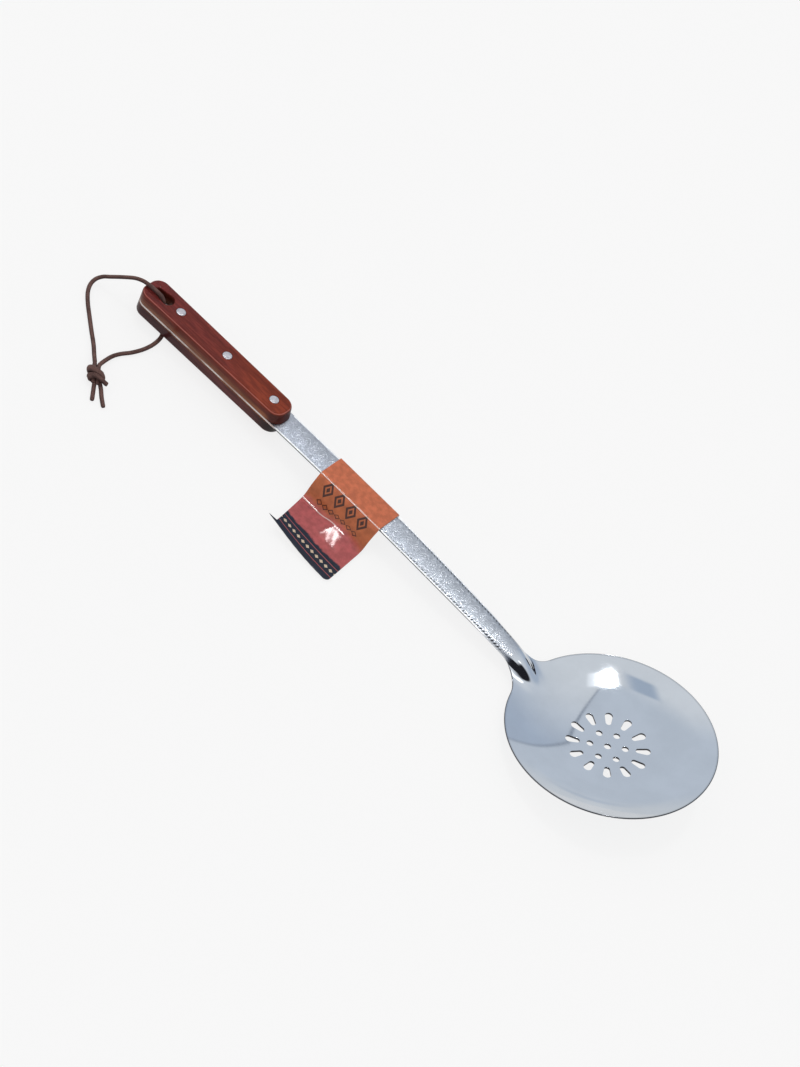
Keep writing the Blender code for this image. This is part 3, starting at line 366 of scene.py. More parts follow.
class GripSizes(bpy.types.PropertyGroup):
    """Sizes and finish of the wooden scales and their rivets."""

    length_along: length("Grip length", "Length of the grip", 124.3)
    rear_width: length("Rear width", "Width of the grip at its end", 20.4)
    corner_radius: length("Corner radius", "Radius of the grip's corners in plan", 7.5)
    scale_thickness: length("Scale thickness", "Thickness of one wooden scale", 8.3)
    edge_radius: length("Edge radius", "Rounding of a scale's outer edge", 2.0)
    front_lean: length("Front lean", "How far a scale's front leans back", 1.5)
    seat_gap: length("Seat gap", "Glue line between scale and tang", 0.3)
    eye_from_end: length("Eye from end", "From the grip's end to the hanging eye", 5.6)
    eye_length: length("Eye length", "Length of the hanging eye", 15.6)
    eye_front: length("Eye front radius", "Round end towards the bowl", 4.4)
    eye_rear: length("Eye rear radius", "Round end towards the grip's end", 3.0)
    eye_lip: length("Eye lip", "Rounding of the eye's edge", 0.7)
    rear_rivet: length("Rear rivet", "From the grip's end to the rear rivet", 28.6)
    rivet_spacing: length("Rivet spacing", "Distance between rivets", 41.35)
    rivet_head: length("Rivet head", "Diameter of a rivet's head", 6.2)
    rivet_head_thickness: length("Head thickness", "Thickness of a rivet's head", 1.2)
    rivet_dome: length("Head dome", "Height of a head's crown", 0.14)
    rivet_tube: length("Rivet tube", "Diameter of the lower half's tube", 4.0)
    rivet_pin: length("Rivet pin", "Diameter of the upper half's pin", 2.0)
    rivet_clearance: length("Rivet clearance", "Gap round a rivet", 0.3)
    recess_gap: length("Recess gap", "Gap round a rivet's head in the wood", 0.2)
    wood_front: tint("Wood at the front", "Colour of the stained wood towards the bowl", 0.26, 0.042, 0.017)
    wood_rear: tint("Wood at the rear", "Colour of the stained wood towards the eye", 0.185, 0.028, 0.026)
    # The side, end, lower and arris colours are painted light: a lighter painted reflection beside the
    # tang, painted shade below the arris, on the front ends and over the lower scale, and a painted
    # highlight on the arris.
    wood_side_lit: tint("Side wood", "Colour of the upper scale's side beside the tang", 0.33, 0.150, 0.090)
    wood_side_lit_front: tint("Front side wood", "Colour of that side towards the bowl", 0.32, 0.125, 0.055)
    wood_shade: tint("Shaded wood", "Colour of the upper scale's side below its arris", 0.15, 0.024, 0.013)
    wood_end_shade: tint("End wood", "Colour of the upper scale's front end", 0.080, 0.018, 0.013)
    wood_low_shade: tint("Lower wood", "Colour of the lower scale's side", 0.062, 0.012, 0.016)
    wood_low_front_shade: tint("Lower front wood", "Colour of that side towards the bowl", 0.105, 0.026, 0.026)
    wood_low_end_shade: tint("Lower end wood", "Colour of the lower scale's front end", 0.010, 0.004, 0.004)
    arris: tint("Arris", "Colour of the rubbed arris", 0.50, 0.16, 0.125)
    rivet_metal: tint("Rivet metal", "Colour of the rivets", 0.57, 0.54, 0.56)


class SleeveSizes(bpy.types.PropertyGroup):
    """Sizes and print of the card sleeve round the shank."""

    from_grip: length("From grip", "From the grip to the sleeve", 40.3)
    length_along: length("Length", "Length of the sleeve along the shank", 51.0)
    thickness: length("Thickness", "Thickness of the card", 0.4)
    clearance: length("Clearance", "Gap between card and steel", 0.5)
    fold_radius: length("Fold radius", "Radius of the folds at the shank's edges", 1.0)
    bend_radius: length("Bend radius", "Radius of the bends on the ground", 7.0)
    front_bend: length("Front bend", "From the shank's edge to the front panel's bend", 11.0)
    back_bend: length("Back bend", "From the shank's edge to the back panel's bend", 8.0)
    front_reach: length("Front reach", "From the shank's edge to the front panel's end", 46.0)
    back_reach: length("Back reach", "From the shank's edge to the back panel's end", 38.4)
    ground_gap: length("Ground gap", "Gap below the back panel", 0.8)
    layer_gap: length("Layer gap", "Gap between the panels", 0.4)
    under_slack: length("Under slack", "Slack of the card below the shank", 2.4)
    front_skew: length("Front skew", "Shift of the front panel's end along the shank", 4.9)
    front_narrowing: length("Front narrowing", "How much the front panel narrows outwards", 3.8)
    back_skew: length("Back skew", "Shift of the back panel's end along the shank", 2.8)
    corner_lift: length("Corner lift", "Lift of the front panel's rear corner", 7.0)
    slope_bulge: length("Slope bulge", "Bulge of the card where it comes down from the shank", 1.5)
    buckle_lean: turn("Buckle lean", "Slope of the buckle in the front panel", 13.2)
    ripple: length("Ripple", "Height of the faint waves in the front panel", 0.026)
    tongue: length("Tongue", "How far the front panel's rear corner runs out to a point", 6.0)
    return_inset: length("Return inset", "How far the card's hidden part is set in on each side", 3.0)
    corner_radius: length("Corner radius", "Rounding of the front panel's corner", 3.5)
    orange: tint("Orange", "Main print colour", 0.62, 0.165, 0.075)
    rose: tint("Rose", "Colour of the band beside the ground bend", 0.48, 0.105, 0.105)
    navy: tint("Navy", "Colour of the outer band", 0.010, 0.015, 0.032)
    cream: tint("Cream", "Colour of the light motifs", 0.80, 0.62, 0.45)
    ink: tint("Ink", "Colour of the dark motifs", 0.030, 0.016, 0.016)
    # Painted shade: the orange print coloured darker where the card slopes down from the shank.
    slope: tint("Slope print", "Print colour below the fold", 0.46, 0.125, 0.045)
    worn: tint("Worn fold", "Bare card on the worn fold", 0.85, 0.80, 0.76)
    bare: tint("Bare card", "Colour of the unprinted side", 0.72, 0.70, 0.66)


class LaceSizes(bpy.types.PropertyGroup):
    """Sizes and finish of the leather lace."""

    width: length("Width", "Width of the lace", 2.8)
    height: length("Height", "Height of the lace as it lies", 2.4)
    over_length: length("Upper strand", "Length from the eye over the grip's end to the knot", 133.0)
    under_length: length("Lower strand", "Length from the eye under the grip to the knot", 76.0)
    knot_turn: turn("Knot turn", "Direction of the knot's axis on the ground", -44.0)
    leather: tint("Leather", "Body colour of the leather", 0.090, 0.043, 0.037)
    # Painted highlight: the lace's upper side is coloured lighter, in patches.
    leather_top_sheen: tint("Rubbed leather", "Colour of the rubbed upper side", 0.185, 0.099, 0.083)
    leather_dark: tint("Dark leather", "Colour of the raw edges", 0.040, 0.020, 0.020)


class StageSizes(bpy.types.PropertyGroup):
    """Camera, floor and lights."""

    camera_place: FloatVectorProperty(
        name="Camera place", description="Where the camera stands",
        default=(0.303996, -0.977795, 1.172536), size=3, subtype="TRANSLATION", unit="LENGTH",
    )
    camera_turn: FloatVectorProperty(
        name="Camera turn", description="Turn of the camera about X, Y and Z",
        default=(0.651407, -0.345437, 0.726508), size=3, subtype="EULER", unit="ROTATION",
    )
    lens: FloatProperty(name="Lens", description="Focal length in millimetres", default=114.4904)
    sensor: FloatProperty(name="Sensor", description="Sensor width in millimetres", default=36.0)
    floor_size: length("Floor", "Side of the square floor", 8000.0)
    background: tint("Background", "Colour of floor and backdrop", 0.939, 0.939, 0.939)
    floor_glow: share("Floor glow", "Even tone of the floor as a share of the background", 0.848)
    floor_shade: tint("Floor shade", "Colour on which shadows show", 0.17, 0.17, 0.17)
    floor_paper: tint("Floor paper", "Colour that the floor throws back on the object", 0.75, 0.75, 0.75)
    sky: tint("Sky", "Even light on the object", 0.74, 0.74, 0.74)
    room_high: tint("Room above", "Reflected light from above", 0.92, 0.95, 0.98)
    room_pale: tint("Pale wall", "Reflected light of the paler wall", 0.73, 0.79, 0.87)
    room_dim: tint("Dim wall", "Reflected light of the dimmer wall", 0.56, 0.64, 0.76)
    room_line: tint("Wall joint", "Reflected light where the walls meet", 0.25, 0.29, 0.36)
    room_low: tint("Room below", "Reflected light near the horizon", 0.84, 0.87, 0.90)
    room_panel: tint("Side panel", "Reflected light of the panel beside the soft box", 0.52, 0.61, 0.73)
    room_blue: tint("Blue shade", "Reflected light of the shaded room behind the camera", 0.13, 0.17, 0.26)
    room_black: tint("Black shade", "Reflected light of the darkest parts", 0.02, 0.02, 0.025)
    dark_side: share("Dark side", "How dark the room is behind the camera", 1.0)
    box_light: FloatProperty(name="Box light", description="Brightness of the soft box", default=24.0)


def smooth_step(t):
    """Quintic ease from 0 to 1: 6t^5 - 15t^4 + 10t^3 on the clipped parameter."""
    t = np.clip(t, 0.0, 1.0)
    return t * t * t * (t * (6.0 * t - 15.0) + 10.0)


def unit(vectors):
    """Vectors divided by their length."""
    return vectors / np.linalg.norm(vectors, axis=-1, keepdims=True)


def arc(centre, radius, start, end, steps):
    """Points at even angles on a circle, both ends included."""
    angles = np.linspace(start, end, steps + 1)
    return np.asarray(centre) + radius * np.column_stack((np.cos(angles), np.sin(angles)))


def line(start, end, steps):
    """Points at even spacing on a straight line, both ends included."""
    return np.asarray(start) + np.linspace(0.0, 1.0, steps + 1)[:, None] * np.subtract(end, start)


def lengths_along(path):
    """Distance of each point of a path from its start."""
    return np.concatenate(([0.0], np.cumsum(np.linalg.norm(np.diff(path, axis=0), axis=1))))


def resampled(path, steps):
    """A path cut anew into steps of equal length."""
    along = lengths_along(path)
    even = np.linspace(0.0, along[-1], steps + 1)
    return np.column_stack([np.interp(even, along, path[:, axis]) for axis in range(path.shape[1])])


def tapered_slot(front, front_radius, rear, rear_radius):
    """Outline round two circles of unlike radius and the two lines that touch both."""
    axis = np.subtract(rear, front)
    heading = math.atan2(axis[1], axis[0])
    lean = math.acos((front_radius - rear_radius) / np.linalg.norm(axis))
    front_end = arc(front, front_radius, heading + lean, heading + TAU - lean, OUTLINE_STEPS)
    rear_end = arc(rear, rear_radius, heading - lean, heading + lean, OUTLINE_STEPS)
    first_side = line(front_end[-1], rear_end[0], OUTLINE_STEPS)
    last_side = line(rear_end[-1], front_end[0], OUTLINE_STEPS)
    return np.vstack((front_end[:-1], first_side[:-1], rear_end[:-1], last_side[:-1]))


def facing(outline, border):
    """For each point of a border, the outline's point in the same direction from the outline's middle.

    The outline is read as a radius over the angle, which is interpolated at the border's angles.
    """
    centre = 0.5 * (outline.min(axis=0) + outline.max(axis=0))
    spoke = outline - centre
    reach = border - centre
    angle = np.arctan2(reach[:, 1], reach[:, 0])
    radius = np.interp(
        angle, np.arctan2(spoke[:, 1], spoke[:, 0]), np.hypot(spoke[:, 0], spoke[:, 1]), period=TAU
    )
    return centre + radius[:, None] * np.column_stack((np.cos(angle), np.sin(angle)))


def between(inner, outer, rows):
    """Grid of straight lines from a closed loop to its partner, with the first column repeated last."""
    steps = np.linspace(0.0, 1.0, rows + 1)[:, None, None]
    grid = inner + steps * (outer - inner)
    return np.concatenate((grid, grid[:, :1]), axis=1)


def closed_rings(rings):
    """Rings of equal count stacked as a grid, with the first column repeated last."""
    grid = np.stack(rings)
    return np.concatenate((grid, grid[:, :1]), axis=1)


def joined(patches):
    """Points and quads of several grids, with points in the same place made one.

    Channels past the third are numbers that go with a point, such as its place in a print.
    """
    points = np.concatenate([patch.reshape(-1, patch.shape[-1]) for patch in patches])
    quads = []
    start = 0
    for patch in patches:
        index = start + np.arange(patch.shape[0] * patch.shape[1]).reshape(patch.shape[:2])
        corners = (index[:-1, :-1], index[1:, :-1], index[1:, 1:], index[:-1, 1:])
        quads.append(np.stack(corners, axis=-1).reshape(-1, 4))
        start += index.size
    cells = np.round(points[:, :3] / SAME_PLACE).astype(np.int64)
    _, first, place = np.unique(cells, axis=0, return_index=True, return_inverse=True)
    return points[first], place.ravel()[np.concatenate(quads)]


def add_piece(name, points, faces, body, nodes, shader, sharp_angle=None):
    """A mesh object at the origin that rides on a body and stands for CAD nodes."""
    mesh = bpy.data.meshes.new(name)
    mesh.from_pydata(points.tolist(), [], [tuple(dict.fromkeys(face)) for face in faces.tolist()])
    mesh.materials.append(shader)
    mesh.shade_smooth()
    if sharp_angle is not None:
        shell = bmesh.new()
        shell.from_mesh(mesh)
        bmesh.ops.recalc_face_normals(shell, faces=shell.faces)
        shell.to_mesh(mesh)
        shell.free()
        mesh.set_sharp_from_angle(angle=sharp_angle)
    piece = bpy.data.objects.new(name, mesh)
    bpy.context.scene.collection.objects.link(piece)
    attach(piece, body)
    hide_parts(*nodes)
    return piece


def add_attribute(piece, name, values):
    """One number for each vertex, which a material can read."""
    store = piece.data.attributes.new(name, "FLOAT", "POINT")
    store.data.foreach_set("value", np.ascontiguousarray(values, dtype=np.float32))


def on_ground(points):
    """Points of the blade's frame where the tool lies: turned about Y by the tilt and moved."""
    cosine = math.cos(TOOL_TILT)
    sine = math.sin(TOOL_TILT)
    x = cosine * points[..., 0] - sine * points[..., 2]
    z = sine * points[..., 0] + cosine * points[..., 2]
    return np.stack((x, points[..., 1], z), axis=-1)


def scaled(colour, amount):
    """A colour with each channel times an amount."""
    return tuple(amount * channel for channel in colour)


class Value:
    """A node's output. Arithmetic on it adds the node that works out the result."""

    def __init__(self, finish, socket):
        self.finish = finish
        self.socket = socket

    def __add__(self, other):
        return self.finish.math("ADD", self, other)

    def __sub__(self, other):
        return self.finish.math("SUBTRACT", self, other)

    def __rsub__(self, other):
        return self.finish.math("SUBTRACT", other, self)

    def __mul__(self, other):
        return self.finish.math("MULTIPLY", self, other)

    def __truediv__(self, other):
        return self.finish.math("DIVIDE", self, other)

    def __abs__(self):
        return self.finish.math("ABSOLUTE", self)

    def larger(self, other):
        """The larger of two values."""
        return self.finish.math("MAXIMUM", self, other)

    def smaller(self, other):
        """The smaller of two values."""
        return self.finish.math("MINIMUM", self, other)

    def ramp(self, low, high, start=0.0, end=1.0):
        """Start up to low, end from high on, and a smooth step between them."""
        ranges = (("From Min", low), ("From Max", high), ("To Min", start), ("To Max", end))
        inputs = (("Value", self), *ranges)
        return self.finish.add("ShaderNodeMapRange", "Result", inputs, interpolation_type="SMOOTHSTEP")


class Finish:
    """A node tree under construction: each method adds a node and returns its output."""

    def __init__(self, name, tree=None):
        self.tree = tree
        if tree is None:
            self.material = bpy.data.materials.new(name)
            self.material.use_nodes = True
            self.tree = self.material.node_tree
            self.shader = self.tree.nodes["Principled BSDF"]

    def add(self, kind, output, inputs=(), **settings):
        """A node of a kind with its settings and inputs."""
        node = self.tree.nodes.new(kind)
        for key, value in settings.items():
            setattr(node, key, value)
        for socket, value in inputs:
            self.feed(node.inputs[socket], value)
        return Value(self, node.outputs[output])

    def feed(self, socket, value):
        """Link an output to a socket, or set the socket to a number or colour."""
        if isinstance(value, Value):
            self.tree.links.new(value.socket, socket)
        elif hasattr(value, "__len__") and len(value) == 3 and socket.type == "RGBA":
            socket.default_value = (*value, 1.0)
        else:
            socket.default_value = value

    def set(self, **sockets):
        """Feed the surface shader and return the finished material."""
        for name, value in sockets.items():
            self.feed(self.shader.inputs[name.replace("_", " ").title().replace("Ior", "IOR")], value)
        return self.material

    def place(self, scale=(1.0, 1.0, 1.0)):
        """The object's own coordinates, stretched."""
        coordinates = self.add("ShaderNodeTexCoord", "Object")
        return self.add("ShaderNodeMapping", "Vector", (("Vector", coordinates), ("Scale", scale)))

    def attribute(self, name):
        """A number stored with the mesh."""
        return self.add("ShaderNodeAttribute", "Fac", attribute_name=name)

    def ray(self, kind):
        """1 for rays of a kind, such as those of the camera, and 0 for others."""
        return self.add("ShaderNodeLightPath", f"Is {kind} Ray")

    def noise(self, scale, detail, roughness=0.55, stretch=(1.0, 1.0, 1.0)):
        """Cloudy noise from 0 to 1."""
        inputs = (("Scale", scale), ("Detail", detail), ("Roughness", roughness))
        return self.add("ShaderNodeTexNoise", "Fac", (("Vector", self.place(stretch)), *inputs))

    def cells(self, stretch):
        """Distance to the nearest of scattered points."""
        inputs = (("Vector", self.place(stretch)), ("Scale", 1.0))
        return self.add("ShaderNodeTexVoronoi", "Distance", inputs)

    def swirls(self, scale, distortion):
        """Bands bent into swirls."""
        inputs = (("Scale", scale), ("Distortion", distortion), ("Detail Scale", 1.4))
        return self.add("ShaderNodeTexWave", "Fac", (("Vector", self.place()), *inputs))

    def math(self, operation, first, second=0.0):
        """One step of arithmetic."""
        return self.add("ShaderNodeMath", 0, ((0, first), (1, second)), operation=operation)

    def mix(self, factor, first, second, blend_type="MIX"):
        """Two colours blended by a factor."""
        inputs = ((0, factor), (6, first), (7, second))
        return self.add("ShaderNodeMix", 2, inputs, data_type="RGBA", blend_type=blend_type)

    def toned(self, colour, *tones):
        """A colour times mixes of two tones, each given as its factor and the two tones."""
        for tone in tones:
            colour = self.mix(1.0, colour, self.mix(*tone), "MULTIPLY")
        return colour

    def bump(self, height, strength, distance):
        """A normal tilted by the slopes of a height."""
        inputs = (("Height", height), ("Strength", strength), ("Distance", distance))
        return self.add("ShaderNodeBump", "Normal", inputs)

    def split(self, vector):
        """The three parts of a vector."""
        node = self.add("ShaderNodeSeparateXYZ", 0, ((0, vector),)).socket.node
        return [Value(self, output) for output in node.outputs]


def steel_finish(sizes):
    """Mirror polish in the bowl, satin on the embossed shank, with faint polishing marks on both.

    On the shank the colour carries painted light: a painted highlight on the raised lines and painted shade
    in the hollows, painted highlights on the near side, and painted shade that deepens towards the grip.
    Painted shade darkens the cut edges, hole walls, notches and the shank's lower edge, and a painted
    highlight whitens its upper edge.
    """
    finish = Finish("polished_steel")
    satin = finish.attribute("satin")
    fine = finish.noise(1500.0, 4.0, 0.7)
    strokes = finish.noise(1.0, 4.0, stretch=(40.0, 900.0, 400.0))
    cloudy = finish.noise(45.0, 3.0)
    swirl = finish.swirls(240.0, 20.0)
    along, side, _ = finish.split(finish.place())
    polish = satin.ramp(0.0, 1.0, sizes.mirror_roughness, sizes.satin_roughness)
    roughness = polish + (strokes - 0.5) * 0.10 + (cloudy - 0.5) * 0.06
    # Painted highlight: the near half of the shank is coloured lighter, and only there are the swirls
    # brightened.
    near = side.ramp(0.005, -0.007)
    rubbed = swirl.ramp(0.45, 0.95) * near.ramp(0.0, 1.0, 0.25, 1.0)
    # Of these tones the fine grain is the steel's own. The near-side tone and the brightened swirls are
    # painted highlight, the tone along the shank is painted shade that deepens towards the grip, and the
    # relief tone paints the raised lines lighter and the hollows darker.
    frost_and_sheen = finish.toned(
        finish.mix(fine.ramp(0.32, 0.68), (0.82, 0.83, 0.84), (1.06, 1.06, 1.06)),
        (near, (0.90, 0.88, 0.86), (1.04, 1.02, 1.00)),
        (rubbed, (0.90, 0.90, 0.91), (1.34, 1.34, 1.34)),
        (along.ramp(-0.12, 0.06), (0.88, 0.88, 0.90), WHITE),
        (finish.attribute("relief"), (0.94, 0.94, 0.95), (1.22, 1.22, 1.22)),
    )
    clouds = (cloudy.ramp(0.3, 0.7), WHITE, (0.94, 0.94, 0.94))
    colour = finish.toned(sizes.steel, clouds, (satin, WHITE, frost_and_sheen))
    colour = finish.add("ShaderNodeVectorMath", 0, ((0, colour), (1, WHITE)), operation="MINIMUM")
    # Painted shade on the cut edges and on the shank's notches and lower edge, then a painted highlight on
    # its upper edge. The tang's edge has its own tarnish and wear.
    cut = finish.mix(along.ramp(0.085, 0.070), sizes.cut_edge_shade, sizes.shank_edge_shade)
    rubbed_tang = finish.mix(cloudy.ramp(0.40, 0.60), sizes.tarnish, sizes.worn_tang)
    for mark, tone in (("painted_shade", cut), ("sheared", sizes.edge_glint), ("tarnish", rubbed_tang)):
        colour = finish.mix(finish.attribute(mark), colour, tone)
    normal = finish.bump(satin * (fine + swirl * 0.35) + strokes * 0.02, 0.22, 0.0001)
    return finish.set(base_color=colour, metallic=1.0, roughness=roughness, normal=normal)


def wood_finish(sizes):
    """Stained close-grained wood under lacquer, whose tone changes along and down the grip.

    The level of a point is 0 at the tang, 1 on the upper face and -1 on the lower one.
    The sides carry painted light: a lighter painted reflection beside the tang, painted shade below the
    arris, on the front ends and over the lower scale, and a painted highlight on the upper arris.
    """
    finish = Finish("lacquered_wood")
    level = finish.attribute("level")
    along = finish.split(finish.place())[0]
    streaks = finish.noise(1.0, 5.0, 0.6, (12.0, 170.0, 170.0))
    broad = finish.noise(1.0, 4.0, stretch=(26.0, 60.0, 60.0))
    fibres = finish.noise(1.0, 3.0, 0.6, (90.0, 900.0, 900.0))
    pores = finish.cells((160.0, 1500.0, 1500.0))
    drift = along + (broad - 0.5) * 0.09
    face = finish.mix(drift.ramp(-0.215, -0.125), sizes.wood_rear, sizes.wood_front)
    # Painted light on the sides: a lighter painted reflection beside the tang, painted shade below the
    # arris and on the upper scale's front end, and painted shade over the lower scale, deepest at its front
    # end.
    beside = finish.mix(along.ramp(-0.20, -0.12), sizes.wood_side_lit, sizes.wood_side_lit_front)
    side = finish.mix(level.ramp(0.02, 0.60), beside, sizes.wood_shade)
    side = finish.mix(along.ramp(-0.1195, -0.1140), side, sizes.wood_end_shade)
    low = finish.mix(along.ramp(-0.215, -0.150), sizes.wood_low_shade, sizes.wood_low_front_shade)
    low = finish.mix(along.ramp(-0.135, -0.110), low, sizes.wood_low_end_shade)
    side = finish.mix(level.ramp(-0.05, 0.0), low, side)
    body = finish.toned(
        finish.mix(abs(level).ramp(0.80, 0.93), side, face),
        (streaks.ramp(0.35, 0.65), (0.74, 0.69, 0.67), (1.04, 1.04, 1.03)),
        (fibres.ramp(0.38, 0.64), (0.74, 0.67, 0.65), (1.12, 1.10, 1.06)),
        (pores.ramp(0.04, 0.30, 0.5, 0.0), WHITE, (0.5, 0.5, 0.5)),
    )
    # Painted highlight along the middle of the upper arris.
    colour = finish.mix(finish.attribute("edge").ramp(0.90, 1.0, 0.0, 0.8), body, sizes.arris)
    roughness = streaks.ramp(0.2, 0.8, 0.36, 0.5)
    normal = finish.bump(streaks + pores * 0.4, 0.25, 0.00006)
    return finish.set(
        base_color=colour, roughness=roughness, normal=normal,
        coat_weight=0.18, coat_roughness=0.1, specular_ior_level=0.1,
    )


def rivet_finish(sizes):
    """Pale turned metal with fine scratches."""
    finish = Finish("rivet_metal")
    scratches = finish.noise(1.0, 3.0, stretch=(300.0, 2600.0, 300.0))
    spots = finish.noise(900.0, 3.0)
    colour = finish.mix(spots.ramp(0.4, 0.75), sizes.rivet_metal, scaled(sizes.rivet_metal, 0.82))
    roughness = scratches.ramp(0.2, 0.8, 0.34, 0.52)
    normal = finish.bump(scratches, 0.3, 0.00003)
    return finish.set(base_color=colour, metallic=1.0, roughness=roughness, normal=normal)


def bowl_height(blade, radius):
    """Dish profile: a quadratic set by the centre's curve, a quartic that lifts the rim, and a flatter lip.

    The lip takes lip_drop ((r - R + width) / width)^2 off within its width. Beyond the rim the
    profile goes on straight.
    """
    quadratic = 0.5 / blade.centre_curve
    rise = blade.bowl_depth + blade.lip_drop - quadratic * blade.bowl_radius**2
    inside = np.minimum(radius, blade.bowl_radius)
    lip = np.maximum(inside - blade.bowl_radius + blade.lip_width, 0.0) / blade.lip_width
    dish = quadratic * inside**2 + rise * (inside / blade.bowl_radius) ** 4 - blade.lip_drop * lip**2
    rim_slope = 2.0 * quadratic * blade.bowl_radius + 4.0 * rise / blade.bowl_radius
    rim_slope -= 2.0 * blade.lip_drop / blade.lip_width
    return dish - blade.bowl_depth + rim_slope * np.maximum(radius - blade.bowl_radius, 0.0)


def neck_x(blade):
    """Where the shank starts."""
    return -(blade.bowl_radius + blade.neck_reach)


def grip_front(blade):
    """Where the grip starts on the unrolled sheet."""
    return neck_x(blade) - blade.shank_length


def shank_line(blade, distance):
    """Middle line of shank and tang as x, z and slope: an arc between two slopes, then straight."""
    bow = blade.shank_length / (blade.neck_slope - blade.grip_slope)
    along = np.clip(distance, 0.0, blade.shank_length)
    angle = blade.neck_slope - along / bow
    x = neck_x(blade) - bow * (math.sin(blade.neck_slope) - np.sin(angle))
    z = blade.neck_rise + bow * (np.cos(angle) - math.cos(blade.neck_slope))
    beyond = np.maximum(distance - blade.shank_length, 0.0)
    return x - beyond * np.cos(angle), z + beyond * np.sin(angle), angle


def fillet_centre(blade):
    """Centre of the round between rim and shank on the side of positive v."""
    v = 0.5 * blade.neck_width + blade.neck_fillet
    return -math.sqrt((blade.bowl_radius + blade.neck_fillet) ** 2 - v**2), v


def shank_half_width(blade, u):
    """Half the shank's width, which grows from the neck to the grip by a power law."""
    distance = np.clip((fillet_centre(blade)[0] - u) / blade.shank_length, 0.0, 1.0)
    widening = 1.0 - (1.0 - distance) ** blade.shank_taper_power
    return 0.5 * (blade.neck_width + (blade.shank_width - blade.neck_width) * widening)


def half_width(blade, grip, u):
    """Half the sheet's width: that of the shank, which along the grip grows evenly to the rear width."""
    along_grip = np.clip((grip_front(blade) - u) / grip.length_along, 0.0, 1.0)
    return shank_half_width(blade, u) + 0.5 * (grip.rear_width - blade.shank_width) * along_grip


def rib_rise(blade, u, v):
    """Height of the pressed rib above the sheet beside it: (H - A w^2) exp(-r^power).

    w is v as a share of the rib's half width, and r is 1 on the rib's outline in plan, which ends
    in half an ellipse in the bowl. The height H and the arch A fade along the shank. Past the neck
    the arch reaches to the sheet's edge.
    """
    distance = neck_x(blade) - u
    overhang = blade.rib_overhang + blade.rib_spread * smooth_step(distance / blade.rib_fade)
    across = v / (shank_half_width(blade, u) + overhang)
    tip = blade.rib_nose - blade.bowl_radius
    past = np.maximum(u - tip + blade.rib_nose_length, 0.0) / blade.rib_nose_length
    outline = np.hypot(across, past) ** blade.rib_power
    height = blade.rib_height * (1.0 - smooth_step(distance / blade.rib_fade))
    arch = blade.arch_height * (1.0 - smooth_step(distance / blade.arch_fade))
    arch = arch * np.minimum(across**2, ARCH_LIMIT)
    whole = smooth_step(distance / (0.5 * blade.rib_fade))
    return height * np.exp(-outline) - arch * np.exp(-(1.0 - whole) * outline)


def sheet_middle(blade, u, v):
    """Middle of the pressed sheet in the blade's frame.

    The shank lies off its middle line by the rib less the drop of the sheet beside it, which fades
    with the distance from the neck. In the bowl the dish is blended into the same section over the
    run-in from the nose to the neck.
    """
    distance = neck_x(blade) - u
    line_x, line_z, angle = shank_line(blade, distance)
    rib = rib_rise(blade, u, v) / np.cos(angle)
    drop = blade.edge_drop * (1.0 - smooth_step(distance / blade.rib_fade)) / np.cos(angle)
    shank = np.stack((line_x, v + 0.0 * line_x, line_z + rib - drop), axis=-1)

    nose = blade.lift_nose - blade.bowl_radius
    run_in = np.clip((nose - u) / (nose - neck_x(blade)), 0.0, 1.0)
    spread = np.exp(-(1.0 - run_in) * (v / blade.lift_half_width) ** 4)
    flank = blade.neck_rise + distance * math.tan(blade.neck_slope)
    flank = flank - blade.edge_drop / math.cos(blade.neck_slope)
    dish = bowl_height(blade, np.hypot(u, v))
    bowl = np.stack((u, v, dish + smooth_step(run_in) * spread * (flank - dish) + rib), axis=-1)
    return np.where((distance > 0.0)[..., None], shank, bowl)


def sheet_normals(blade, u, v, surface):
    """Unit normals of a surface over (u, v) from its slopes along and across."""
    along = surface(blade, u + SLOPE_STEP, v) - surface(blade, u - SLOPE_STEP, v)
    across = surface(blade, u, v + SLOPE_STEP) - surface(blade, u, v - SLOPE_STEP)
    return unit(np.cross(along, across)), unit(along), unit(across)


def sheet_thickness(blade, u, v):
    """Thickness, which thins towards the rim but not at the neck."""
    at_rim = smooth_step((np.hypot(u, v) - blade.bowl_radius + blade.rim_thinning) / blade.rim_thinning)
    beside_neck = smooth_step((u - neck_x(blade)) / blade.neck_fillet)
    return blade.thickness - (blade.thickness - blade.rim_thickness) * at_rim * beside_neck


def ridge(distance, half):
    """A rounded ridge of height 1 at distance 0: exp(-(distance / half)^2)."""
    return np.exp(-((distance / half) ** 2))


